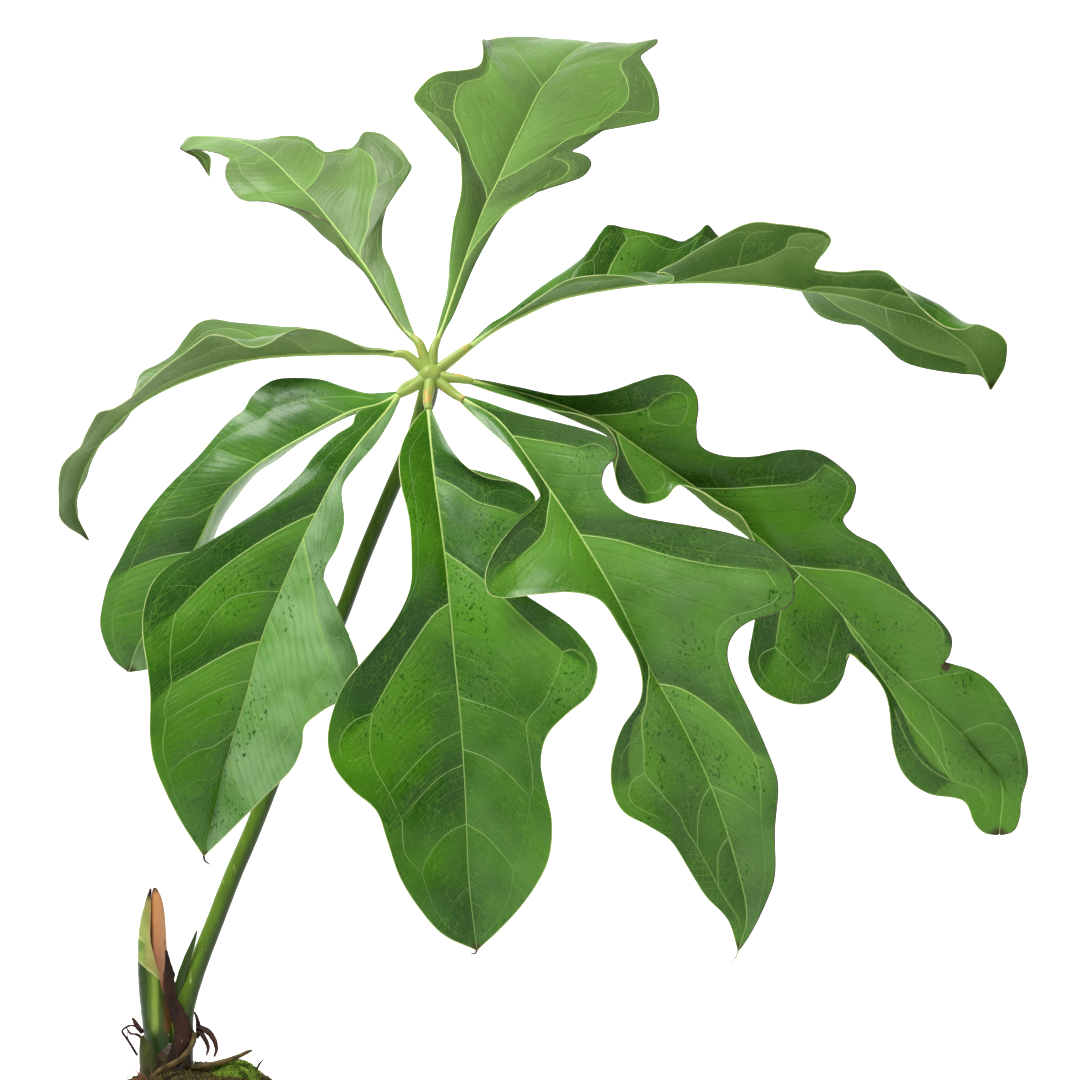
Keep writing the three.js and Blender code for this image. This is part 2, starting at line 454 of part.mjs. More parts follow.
// Triangles of a closed sheet: upper grid, lower grid, two margins, two ends
function sheetFaces(rowCount, columnCount) {
  const faces = [];
  const upper = (row, column) => row * columnCount + column;
  const lower = (row, column) => rowCount * columnCount + upper(row, column);
  const lastRow = rowCount - 1;
  const lastColumn = columnCount - 1;
  for (let j = 0; j < lastRow; j += 1) {
    for (let i = 0; i < lastColumn; i += 1) {
      faces.push([upper(j, i), upper(j, i + 1), upper(j + 1, i + 1)]);
      faces.push([upper(j, i), upper(j + 1, i + 1), upper(j + 1, i)]);
      faces.push([lower(j, i), lower(j + 1, i + 1), lower(j, i + 1)]);
      faces.push([lower(j, i), lower(j + 1, i), lower(j + 1, i + 1)]);
    }
    faces.push([upper(j, 0), upper(j + 1, 0), lower(j + 1, 0)]);
    faces.push([upper(j, 0), lower(j + 1, 0), lower(j, 0)]);
    faces.push([upper(j + 1, lastColumn), upper(j, lastColumn), lower(j, lastColumn)]);
    faces.push([upper(j + 1, lastColumn), lower(j, lastColumn), lower(j + 1, lastColumn)]);
  }
  for (let i = 0; i < lastColumn; i += 1) {
    faces.push([upper(0, i + 1), upper(0, i), lower(0, i)]);
    faces.push([upper(0, i + 1), lower(0, i), lower(0, i + 1)]);
    faces.push([upper(lastRow, i), upper(lastRow, i + 1), lower(lastRow, i + 1)]);
    faces.push([upper(lastRow, i), lower(lastRow, i + 1), lower(lastRow, i)]);
  }
  return faces;
}

// Closed solid of a sheet given as rows of middle points and its half thickness at each point
function thickSheet(rows, thickness) {
  const upper = [];
  const lower = [];
  const lastRow = rows.length - 1;
  const lastColumn = rows[0].length - 1;
  for (let j = 0; j <= lastRow; j += 1) {
    for (let i = 0; i <= lastColumn; i += 1) {
      const along = rows[Math.min(j + 1, lastRow)][i].clone().sub(rows[Math.max(j - 1, 0)][i]);
      const across = rows[j][Math.min(i + 1, lastColumn)].clone();
      across.sub(rows[j][Math.max(i - 1, 0)]);
      const up = across.cross(along).normalize();
      const [above, below] = thickness(j, i);
      upper.push(rows[j][i].clone().addScaledVector(up, above));
      lower.push(rows[j][i].clone().addScaledVector(up, -below));
    }
  }
  return solid([...upper, ...lower], sheetFaces(lastRow + 1, lastColumn + 1));
}

// Solid of one leaflet with its midrib; grow and rowLimit give the room its foot takes
function leafletSolid(shape, grow = 0, rowLimit = 99) {
  const rows = leafletRows(shape, grow).slice(0, rowLimit);
  const lastColumn = rows[0].points.length - 1;
  const ribColumn = lastColumn / 2;
  return thickSheet(
    rows.map((row) => row.points),
    (j, i) => {
      const edge = i === 0 || i === lastColumn;
      const half = grow + (edge ? BLADE_EDGE_HALF_THICKNESS : BLADE_HALF_THICKNESS);
      if (i !== ribColumn) return [half, half];
      return [half + RIB_RISE_ABOVE * rows[j].radius, half + RIB_RISE_BELOW * rows[j].radius];
    }
  );
}

// A manifold solid from points and triangles
function solid(points, faces) {
  const vertProperties = new Float32Array(points.flatMap((p) => [p.x, p.y, p.z]));
  const triVerts = new Uint32Array(faces.flat());
  return new wasm.Manifold(new wasm.Mesh({ numProp: 3, vertProperties, triVerts }));
}

// A round or oval bar along a smooth line; each stop is [x, y, z, half width, half depth]
function bar(stops, rings, sides, grow = 0) {
  const line = smoothLine(stops);
  const widths = smoothLine(stops.map((s) => [s[3], s[4] ?? s[3], 0]));
  const points = [];
  let across = new THREE.Vector3(1, 0, 0);
  for (let ring = 0; ring <= rings; ring += 1) {
    const part = ring / rings;
    const middle = line.getPoint(part);
    const along = line.getTangent(part);
    across = across.clone().addScaledVector(along, -across.dot(along)).normalize();
    const deep = along.clone().cross(across);
    const size = widths.getPoint(part);
    if (ring === 0) middle.addScaledVector(along, -grow);
    if (ring === rings) middle.addScaledVector(along, grow);
    for (let k = 0; k < sides; k += 1) {
      const angle = (2 * Math.PI * k) / sides;
      const point = middle.clone().addScaledVector(across, (size.x + grow) * Math.cos(angle));
      points.push(point.addScaledVector(deep, (size.y + grow) * Math.sin(angle)));
    }
  }
  const faces = [];
  for (let ring = 0; ring < rings; ring += 1) {
    for (let k = 0; k < sides; k += 1) {
      const a = ring * sides + k;
      const b = ring * sides + ((k + 1) % sides);
      faces.push([a, b, b + sides], [a, b + sides, a + sides]);
    }
  }
  for (let k = 1; k < sides - 1; k += 1) {
    const top = rings * sides;
    faces.push([0, k + 1, k], [top, top + k, top + k + 1]);
  }
  return solid(points, faces);
}

// A turned geometry from a closed profile of [radius, height]
function turned(profile, sides) {
  const outline = profile.map((p) => new THREE.Vector2(p[0], p[1]));
  outline.push(outline[0].clone());
  return new THREE.LatheGeometry(outline, sides).rotateX(Math.PI / 2);
}

// Move every vertex of a geometry by a rule that changes the vector it is given
function reshape(geometry, rule) {
  const place = geometry.attributes.position;
  const vertex = new THREE.Vector3();
  for (let i = 0; i < place.count; i += 1) {
    rule(vertex.fromBufferAttribute(place, i));
    place.setXYZ(i, vertex.x, vertex.y, vertex.z);
  }
  return geometry;
}

// A manifold solid from a geometry
function fromGeometry(geometry) {
  const plain = geometry.index ? geometry.toNonIndexed() : geometry;
  plain.deleteAttribute('normal');
  plain.deleteAttribute('uv');
  const merged = mergeVertices(plain, 1e-3);
  const index = [];
  const all = merged.index.array;
  for (let i = 0; i < all.length; i += 3) {
    const [a, b, c] = [all[i], all[i + 1], all[i + 2]];
    if (a !== b && b !== c && c !== a) index.push(a, b, c);
  }
  const vertProperties = new Float32Array(merged.attributes.position.array);
  const triVerts = new Uint32Array(index);
  return new wasm.Manifold(new wasm.Mesh({ numProp: 3, vertProperties, triVerts }));
}

// The clay pot: tapered wall, rim band, floor with drainage holes around a solid middle
function potSolid() {
  const bandFoot = POT_HEIGHT - POT_BAND_HEIGHT;
  const wallTop = POT_RIM_RADIUS - 9;
  const shell = turned(
    [
      [0, 0],
      [POT_FOOT_RADIUS - 2, 0],
      [POT_FOOT_RADIUS, 2],
      [wallTop - 2, bandFoot - 2],
      [wallTop + 2, bandFoot],
      [POT_RIM_RADIUS - 3, bandFoot + 2],
      [POT_RIM_RADIUS, POT_HEIGHT - 3],
      [POT_RIM_RADIUS - 2.5, POT_HEIGHT],
      [POT_RIM_RADIUS - 6, POT_HEIGHT],
      [POT_RIM_RADIUS - 8, POT_HEIGHT - 3],
      [wallTop - POT_WALL + 1, bandFoot],
      [POT_FOOT_RADIUS - POT_WALL + 2, POT_FLOOR + 4],
      [POT_FOOT_RADIUS - POT_WALL - 2, POT_FLOOR],
      [0, POT_FLOOR],
    ],
    POT_SIDES
  );
  let pot = fromGeometry(shell);
  for (let k = 0; k < DRAIN_HOLES; k += 1) {
    const angle = (2 * Math.PI * (k + 0.5)) / DRAIN_HOLES;
    const x = DRAIN_HOLE_OFFSET * Math.cos(angle);
    const y = DRAIN_HOLE_OFFSET * Math.sin(angle);
    const hole = new THREE.CylinderGeometry(DRAIN_HOLE_RADIUS, DRAIN_HOLE_RADIUS, POT_FLOOR + 4, 16);
    pot = pot.subtract(fromGeometry(hole.rotateX(Math.PI / 2).translate(x, y, POT_FLOOR / 2)));
  }
  return pot;
}

// Uneven push on a mound, moss or scale surface
function lumpy(angle, height) {
  const slow = 0.05 * Math.sin(2 * angle + 0.6) + 0.035 * Math.sin(3 * angle - height * 0.05);
  return 1 + slow + 0.025 * Math.sin(7 * angle + height * 0.11);
}

// Potting soil with the raised, uneven root mound
function soilSolid(grow = 0) {
  const bandFoot = POT_HEIGHT - POT_BAND_HEIGHT;
  const wall = POT_RIM_RADIUS - 9 - POT_WALL + 1 - CLEARANCE;
  const mound = turned(
    [
      [0, POT_FLOOR + CLEARANCE],
      [POT_FOOT_RADIUS - POT_WALL - 2 - CLEARANCE, POT_FLOOR + CLEARANCE],
      [POT_FOOT_RADIUS - POT_WALL + 2 - CLEARANCE, POT_FLOOR + 4 + CLEARANCE],
      [wall, bandFoot],
      [wall + 3.6, SOIL_LEVEL - 1],
      [76, SOIL_LEVEL + 1],
      [69, SOIL_LEVEL + 4],
      [62, SOIL_LEVEL + 16],
      [54 + grow, SOIL_LEVEL + 30],
      [43 + grow, SOIL_LEVEL + 41],
      [33 + grow, SOIL_LEVEL + 47 + grow],
      [18 + grow, MOUND_TOP - 2 + grow],
      [0, MOUND_TOP + grow],
    ],
    POT_SIDES
  );
  reshape(mound, (vertex) => {
    const { x, y, z } = vertex;
    if (z < SOIL_LEVEL + 2) return;
    const share = (z - SOIL_LEVEL) / (MOUND_TOP - SOIL_LEVEL);
    const push = 1 + (lumpy(Math.atan2(y, x), z) - 1) * Math.min(1, share * 2);
    vertex.x = x * push + MOUND_SHIFT * share;
    vertex.y = y * push;
    vertex.z = z + 1.2 * share * Math.sin(x * 0.13) * Math.cos(y * 0.11);
  });
  return fromGeometry(mound);
}

// Moss cushion resting on the right of the mound
function mossSolid() {
  const cushion = new THREE.SphereGeometry(1, 18, 10).rotateX(Math.PI / 2).scale(...MOSS_SIZE);
  reshape(cushion, (vertex) => {
    const { x, y, z } = vertex;
    vertex.multiplyScalar(1 + 0.06 * Math.sin(x * 0.45 + 1) * Math.cos(y * 0.5) + 0.03 * Math.sin(z + x));
  });
  return fromGeometry(cushion.translate(...MOSS_MIDDLE)).subtract(soilSolid(CLEARANCE));
}

// The petiole from inside the stem up to the swollen hub
const PETIOLE_LINE = [
  [-15, 0, 176, 8.6], [-14.3, 0, 194, 8], [-12.6, 0, 214, 7], [-7.2, 3, 234, 6.5],
  [-0.2, 6, 253, 6.1], [7.2, 8.5, 272, 5.9], [18.2, 13, 301, 5.8], [30.5, 17.5, 330, 5.7],
  [58, 24, 400, 5.4], [86.8, 24, 467, 5.1], [102, 23, 507, 5], [118.5, 18.5, 546, 5],
  [130, 16, 572, 5.1], [136, 14, 585.5, 5.3], [141, 10, 600, 5.7], [145.5, 5, 614, 6.4],
  [148, 1, 627, 6],
];

// The thick short stem that carries the petiole and the sheaths
const STEM_LINE = [
  [-20, 1, 146, 15, 14], [-21, 0, 165, 16, 15], [-20, 0, 182, 14, 13], [-19, 0, 194, 9, 8],
];

// Torn winged strip down the left of the petiole's foot
const WING_LINE = [
  [-4, -1, 266, 0.6, 0.5], [-6.5, -1, 258, 1.6, 0.7], [-10.5, -2, 247, 2.4, 0.8],
  [-14, -3, 236, 2.8, 0.8], [-17, -3, 224, 2.6, 0.8], [-18, -2, 214, 1.6, 0.8],
];

// Stem, petiole, winged strip, hub and the nine short arms, grown together
function petioleSolid(grow = 0) {
  let body = bar(PETIOLE_LINE, 22, 10, grow);
  body = body.add(bar(STEM_LINE, 4, 12, grow));
  body = body.add(bar(WING_LINE, 7, 6, grow));
  const hub = new THREE.SphereGeometry(HUB_RADIUS, 12, 8).scale(1.05, 0.95, 0.95).translate(...HUB);
  body = body.add(fromGeometry(hub));
  const shapes = Object.values(LEAFLETS);
  for (const shape of shapes) body = body.add(armSolid(shape));
  for (const shape of shapes) body = body.subtract(leafletSolid(shape, CLEARANCE, 4));
  return mainBody(body);
}

// A short arm from the hub to the first rib point of a leaflet, cut square to the rib
function armSolid(shape) {
  const rib = smoothLine(shape.rib);
  const foot = rib.getPoint(0);
  const along = rib.getTangent(0);
  const end = foot.clone().addScaledVector(along, -JOINT_GAP);
  const knee = foot.clone().addScaledVector(along, -7);
  const middle = new THREE.Vector3(...HUB).lerp(knee, 0.5);
  const stop = (p, radius) => [p.x, p.y, p.z, radius];
  const stops = [
    stop(new THREE.Vector3(...HUB), ARM_RADIUS + 1.2),
    stop(middle, ARM_RADIUS + 0.6),
    stop(knee, ARM_RADIUS),
    stop(end, ARM_END_RADIUS),
  ];
  return bar(stops, 4, 8);
}

// A curved scale leaf: rows of [x, y, z, half width, curl], each an arc around the row's middle
function scaleLeaf(stops, rings, columns, facing, half) {
  const line = smoothLine(stops);
  const sizes = smoothLine(stops.map((s) => [s[3], s[4], 0]));
  const out = new THREE.Vector3(...facing).normalize();
  const rows = [];
  for (let ring = 0; ring <= rings; ring += 1) {
    const part = ring / rings;
    const middle = line.getPoint(part);
    const along = line.getTangent(part);
    const front = out.clone().addScaledVector(along, -out.dot(along)).normalize();
    const across = front.clone().cross(along);
    const size = sizes.getPoint(part);
    const row = [];
    for (let k = -columns; k <= columns; k += 1) {
      const turn = (size.y * k) / columns;
      const radius = size.x / Math.sin(Math.min(Math.max(size.y, 0.2), 1.5));
      const point = middle.clone().addScaledVector(across, -radius * Math.sin(turn));
      row.push(point.addScaledVector(front, radius * (Math.cos(turn) - 1)));
    }
    rows.push(row);
  }
  return thickSheet(rows, () => [half, half]);
}

// The old green sheath, a pointed hood that closes around the shoot at its foot
const GREEN_SHEATH = [
  [-36, 1, 183, 12.2, 2.5], [-38.6, 1, 202, 11, 2.5], [-40.2, 0, 218, 9.6, 2.35],
  [-41.4, 0, 232, 8.6, 2.2], [-41.9, 0, 246, 8.1, 1.8], [-41.7, 0, 259, 7.4, 1.5],
  [-40.3, 0, 271, 6.3, 1.4], [-38, 0, 281, 4.6, 1.3], [-35.7, 0, 288.5, 2.3, 1.1],
  [-34.2, 0, 293.5, 0.7, 0.8],
];

// The young pink sheath rolled to a blunt point inside the green one
const YOUNG_SHEATH = [
  [-24, 0, 196, 5, 5], [-26, 0, 212, 6, 5.4], [-28, 0, 230, 6.2, 5.2], [-29, 0, 247, 6, 4.8],
  [-29.4, 0, 262, 5.6, 4.4], [-29.8, 0, 275, 5.2, 4], [-30.2, 0, 285, 4, 3],
  [-31, 0, 291, 2.4, 1.9], [-31.6, 0, 294, 1, 0.9],
];

// The dry brown cataphyll folded around the front of the petiole's foot
const BROWN_CATAPHYLL = [
  [-18.5, -14.5, 182, 4.6, 0.8], [-13.8, -15, 190, 5.8, 0.9], [-11, -14.5, 199, 6.2, 0.9],
  [-12.4, -14, 207, 5.6, 0.9], [-15.4, -13.5, 215, 4.4, 0.8], [-19, -13, 223, 3.8, 0.7],
  [-20.8, -12.5, 231, 3.9, 0.7], [-20.6, -12, 239, 3.4, 0.6], [-21.4, -11.5, 247, 1.8, 0.6],
  [-22.6, -11, 255, 0.6, 0.5],
];

// A small olive scale at the foot of the green sheath
const OLIVE_SCALE = [
  [-33, -13.5, 166, 5, 0.9], [-34.5, -15.5, 178, 7, 0.9], [-36, -15, 190, 5.6, 0.9],
  [-38, -13, 200, 1, 0.6],
];

// Aerial roots that leave the stem in front and to the right
const FRONT_ROOT = [
  [-4, -13.5, 202, 1.7], [-5, -16.5, 195, 1.7], [-11, -19.5, 187, 1.8], [-18, -24.5, 183, 1.8],
  [-24, -33, 181, 1.6], [-28, -42, 178, 1.2],
];
const RIGHT_ROOT = [
  [-6, -9.5, 178.5, 2], [1, -13.5, 180, 1.9], [8.5, -14, 181.8, 1.8], [16, -13.5, 183.7, 1.7],
  [24, -12.5, 186.4, 1.5], [30, -12, 189.2, 1.2], [33, -12, 190.4, 0.7],
];

// Dry fibre strips left of old leaf bases, all hanging from one ragged scrap
function fibreSolid() {
  const strips = [
    [
      [-3, -5, 205, 1.8, 0.5], [3.5, -8, 202, 2, 0.5], [8, -10, 197, 1.7, 0.5],
      [9.9, -11, 191, 1.2, 0.5], [8.4, -12, 186, 0.7, 0.5],
    ],
    [
      [-3, -5, 203, 1.8, 0.5], [1.6, -9, 198, 1.6, 0.5], [4.5, -11, 192, 1.2, 0.5],
      [3.6, -13, 187, 0.6, 0.5],
    ],
    [
      [-5, -4.5, 214, 0.6, 0.5], [-3.2, -5, 209, 1.2, 0.5], [-2.4, -5.5, 203, 1.8, 0.5],
      [-3, -6.5, 197, 1, 0.5],
    ],
  ];
  return strips.map((strip) => bar(strip, 7, 6)).reduce((all, strip) => all.add(strip));
}

// The room a scale leaf takes, a little wider, longer and thicker than the leaf
function leafRoom(stops, rings, columns, facing, half) {
  const wider = stops.map((stop) => [...stop.slice(0, 3), stop[3] + CLEARANCE + 0.2, stop[4]]);
  return scaleLeaf(wider, rings, columns, facing, half + CLEARANCE);
}

// Keep only the largest closed body of a cut solid
function mainBody(body) {
  const parts = body.decompose();
  return parts.reduce((best, part) => (part.volume() > best.volume() ? part : best));
}

// Solids of the crown pieces, each cut clear of what it leans on
function crownSolids(soil) {
  const petioleRoom = petioleSolid(CLEARANCE);
  const soilRoom = soilSolid(CLEARANCE);
  const brown = [BROWN_CATAPHYLL, 12, 3, [0, -1, 0], 0.45];
  const olive = [OLIVE_SCALE, 6, 3, [-0.5, -1, 0], 0.6];
  const greenSheath = scaleLeaf(GREEN_SHEATH, 14, 6, [-1, -0.25, 0], 0.7);
  const youngSheath = bar(YOUNG_SHEATH, 11, 10);
  const brownRoom = leafRoom(...brown);
  const oliveRoom = leafRoom(...olive);
  const rootRoom = bar(FRONT_ROOT, 12, 7, CLEARANCE).add(bar(RIGHT_ROOT, 11, 7, CLEARANCE));
  const room = petioleRoom.add(soilRoom);
  const keep = (body, ...others) =>
    mainBody(others.reduce((left, other) => left.subtract(other), body.subtract(room)));
  const youngRoom = bar(YOUNG_SHEATH, 11, 10, CLEARANCE);
  return {
    green_sheath: keep(greenSheath, youngRoom, brownRoom, oliveRoom, rootRoom),
    young_sheath: keep(youngSheath, brownRoom, oliveRoom),
    dry_cataphyll: keep(scaleLeaf(...brown), oliveRoom, rootRoom),
    olive_scale: keep(scaleLeaf(...olive), rootRoom),
    front_root: keep(bar(FRONT_ROOT, 12, 7)),
    right_root: keep(bar(RIGHT_ROOT, 11, 7)),
    dry_fibres: keep(fibreSolid(), brownRoom, rootRoom),
    soil: soil.subtract(petioleRoom),
  };
}

// Surface finishes
function finish(color, roughness, metalness = 0) {
  return new THREE.MeshStandardMaterial({ color, roughness, metalness });
}

const FINISHES = {
  clay: finish(0xb5694a, 0.85),
  soil: finish(0x4a3626, 0.95),
  moss: finish(0x7fa032, 0.95),
  petiole: finish(0x5c7f30, 0.5),
  blade: finish(0x4f8d3c, 0.42),
  sheath: finish(0x5f9440, 0.5),
  young: finish(0xe0a884, 0.5),
  papery: finish(0x5a3826, 0.85),
  olive: finish(0x6d6a30, 0.7),
  root: finish(0x6b5a34, 0.75),
};

// A named mesh from a solid
function piece(name, body, material) {
  const mesh = body.getMesh();
  const geometry = new THREE.BufferGeometry();
  const stride = mesh.numProp;
  const count = mesh.vertProperties.length / stride;
  const position = new Float32Array(count * 3);
  for (let i = 0; i < count; i += 1) {
    for (let k = 0; k < 3; k += 1) position[i * 3 + k] = mesh.vertProperties[i * stride + k];
  }
  geometry.setAttribute('position', new THREE.BufferAttribute(position, 3));
  geometry.setIndex([...mesh.triVerts]);
  geometry.computeVertexNormals();
  const node = new THREE.Mesh(geometry, material);
  node.name = name;
  return node;
}

const plant = new THREE.Group();
plant.name = 'potted_anthurium_clavigerum';

const crown = crownSolids(soilSolid());
plant.add(piece('pot', potSolid(), FINISHES.clay));
plant.add(piece('soil', crown.soil, FINISHES.soil));
plant.add(piece('moss_cushion', mainBody(mossSolid()), FINISHES.moss));
plant.add(piece('petiole', petioleSolid(), FINISHES.petiole));
plant.add(piece('green_sheath', crown.green_sheath, FINISHES.sheath));
plant.add(piece('young_sheath', crown.young_sheath, FINISHES.young));
plant.add(piece('dry_cataphyll', crown.dry_cataphyll, FINISHES.papery));
plant.add(piece('olive_scale', crown.olive_scale, FINISHES.olive));
plant.add(piece('front_root', crown.front_root, FINISHES.root));
plant.add(piece('right_root', crown.right_root, FINISHES.root));
plant.add(piece('dry_fibres', crown.dry_fibres, FINISHES.papery));
const { leaflet_7: seventh, leaflet_8: eighth, ...single } = LEAFLETS;
for (const [name, shape] of Object.entries(single)) {
  plant.add(piece(name, leafletSolid(shape), FINISHES.blade));
}
const joined = leafletSolid(seventh).add(leafletSolid(eighth));
plant.add(piece('leaflets_7_8', mainBody(joined), FINISHES.blade));

export default plant;
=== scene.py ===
"""Potted anthurium clavigerum: the detailed look of the plant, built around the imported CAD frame.

One finger-parted leaf of nine wavy, lobed leaflets stands on a leaning petiole that rises out of a
mossy root mound in a clay pot. Tables are in millimetres in the row frame, with +Z up.
"""

import logging
import math
from collections.abc import Callable
from dataclasses import dataclass, field
from enum import Enum

import bpy
import numpy as np
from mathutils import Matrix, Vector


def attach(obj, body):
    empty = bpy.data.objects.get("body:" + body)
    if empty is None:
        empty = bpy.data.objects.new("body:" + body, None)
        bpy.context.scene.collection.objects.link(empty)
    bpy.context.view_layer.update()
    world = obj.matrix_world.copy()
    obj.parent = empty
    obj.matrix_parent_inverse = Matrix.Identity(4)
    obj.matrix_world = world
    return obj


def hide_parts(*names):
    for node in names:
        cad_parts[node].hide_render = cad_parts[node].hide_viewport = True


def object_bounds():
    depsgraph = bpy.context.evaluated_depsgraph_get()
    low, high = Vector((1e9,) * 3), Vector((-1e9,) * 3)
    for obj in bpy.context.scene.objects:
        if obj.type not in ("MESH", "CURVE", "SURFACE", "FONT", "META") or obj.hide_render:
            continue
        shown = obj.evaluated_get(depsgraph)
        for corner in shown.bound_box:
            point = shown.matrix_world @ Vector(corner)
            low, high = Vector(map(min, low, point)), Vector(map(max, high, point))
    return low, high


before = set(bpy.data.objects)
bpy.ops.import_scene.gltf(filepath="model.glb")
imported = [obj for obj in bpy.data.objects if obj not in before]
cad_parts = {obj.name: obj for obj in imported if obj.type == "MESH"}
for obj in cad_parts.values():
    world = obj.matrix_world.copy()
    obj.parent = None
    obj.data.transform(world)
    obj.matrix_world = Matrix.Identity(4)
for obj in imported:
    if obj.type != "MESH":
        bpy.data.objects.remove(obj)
CAD_BOX = [list(corner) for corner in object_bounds()]

Array = np.ndarray
Rows = list[list[float]]
Mesh = tuple[Array, list[Array]]
Look = bpy.types.Material
MM = 0.001
FULL_TURN = 2 * math.pi
LOG = logging.getLogger("anthurium")

# Blade
BLADE_GRID = (190, 38)
SMALL_BLADE_GRID = (150, 30)
SMALL_BLADE_LENGTH = 230.0
COLUMN_CROWDING = 1.1
BLADE_HALF_THICKNESS = 0.3
MARGIN_THINNING = 0.75
MARGIN_BAND = 0.55
OPEN_END = 0.03
BARB_BOW = 0.1
HALF_CAMBER = 0.06
CUSHION_HEIGHT = 3.0
CREASE_ROUNDING = 1.1
NARROW_HALF = 45.0
RIB_CREASE_SPREAD = 9.0
RIB_RADII = (2.5, 0.7)
RIB_SINK = 0.24
RIB_RINGS = 150
RIB_SIDES = 12
RIB_SAMPLES = 300
VEIN_SAMPLES = 90
VEIN_RING_STEP = 2.0
VEIN_RINGS = (8, 60)
TRACK_SAMPLES = 60
TRACK_SHARES = 12
RIB_START = 0.06
HALF_PHASE = 40
FALL_REACH = 20.0
BOX_SOFTNESS = 1.0
SHARED_NODES = {"leaflet_7": "leaflets_7_8", "leaflet_8": "leaflets_7_8"}

# Petiole and crown
HUB = (148.0, 0.0, 627.0)
HUB_RADIUS = 8.0
HUB_STRETCH = (1.05, 0.95, 0.95)
ARM_RADII = (4.3, 3.7, 3.1, 2.3)
ARM_GRIP = (7.0, 1.2)
PETIOLE_RINGS, PETIOLE_SIDES = 260, 40
CORD_SEED = 21

# Pot and mound
POT_HEIGHT = 140.0
POT_FOOT_RADIUS = 66.0
POT_RIM_RADIUS = 95.0
POT_RIM_STEP = 9.0
POT_BAND_FOOT = 104.0
POT_WALL = 6.0
POT_FLOOR = 8.0
DRAIN_HOLES = 4
DRAIN_HOLE_RADIUS = 6.0
DRAIN_HOLE_OFFSET = 36.0
SOIL_LEVEL = 127.0
SOIL_SIDES = 140
SOIL_SEED = 41
MOUND_TOP = 178.0
MOUND_SHIFT = -2.0
MOSS_SIZE = (17.5, 17.0, 11.0)
MOSS_MIDDLE = (20.0, -5.0, 171.0)
ROOTLET_FOOT = (-33, -17, 166)
ROOTLET_RADII = (0.45, 0.35, 0.15)


class VeinKind(Enum):
    """How stout a side vein is."""

    STRONG = (0.6, 0.32, 1.0, 13.0, 8, 0.8)
    MEDIUM = (0.38, 0.22, 0.55, 7.0, 6, 0.55)
    FINE = (0.24, 0.15, 0.16, 3.0, 6, 0.3)

    def __init__(
        self, start: float, tip: float, crease: float, spread: float, sides: int, rank: float
    ) -> None:
        """Name the values of a kind.

        Args:
            start: Half width at its start.
            tip: Half width at its tip.
            crease: Depth of the crease it makes, as a share of the cushions.
            spread: How far the crease spreads.
            sides: Sides of its section.
            rank: Its rank for the material, 1 for a midrib.
        """
        self.start, self.tip, self.crease, self.spread = start, tip, crease, spread
        self.sides, self.rank = sides, rank


STRONG, MEDIUM, FINE = VeinKind.STRONG, VeinKind.MEDIUM, VeinKind.FINE


@dataclass(frozen=True)
class HalfPlan:
    """A half blade in text rows.

    Attributes:
        margin: Rows of x, y, z, station of the barb that leads there, and camber where it isn't 0.
        veins: Routes of side veins, with / between them, in rows of station and share across.
        rim: Darkness of its margin, 0 to 1.
        pale: Share of painted pale sheen laid over it, 0 to 1.
    """

    margin: str
    veins: dict[VeinKind, str]
    rim: float = 0.0
    pale: float = 0.0


@dataclass(frozen=True)
class Plan:
    """A leaflet in text rows: rib points, one for each station, and its halves as seen from above.

    The hook has rows of x, y and z offsets from the tip, and the radius there.
    """

    rib: str
    left: HalfPlan
    right: HalfPlan
    # Share of a painted haze of pale reflected light laid over the leaflet.
    painted_haze: float = 0.0
    hook: str = ""
    brown: bool = False


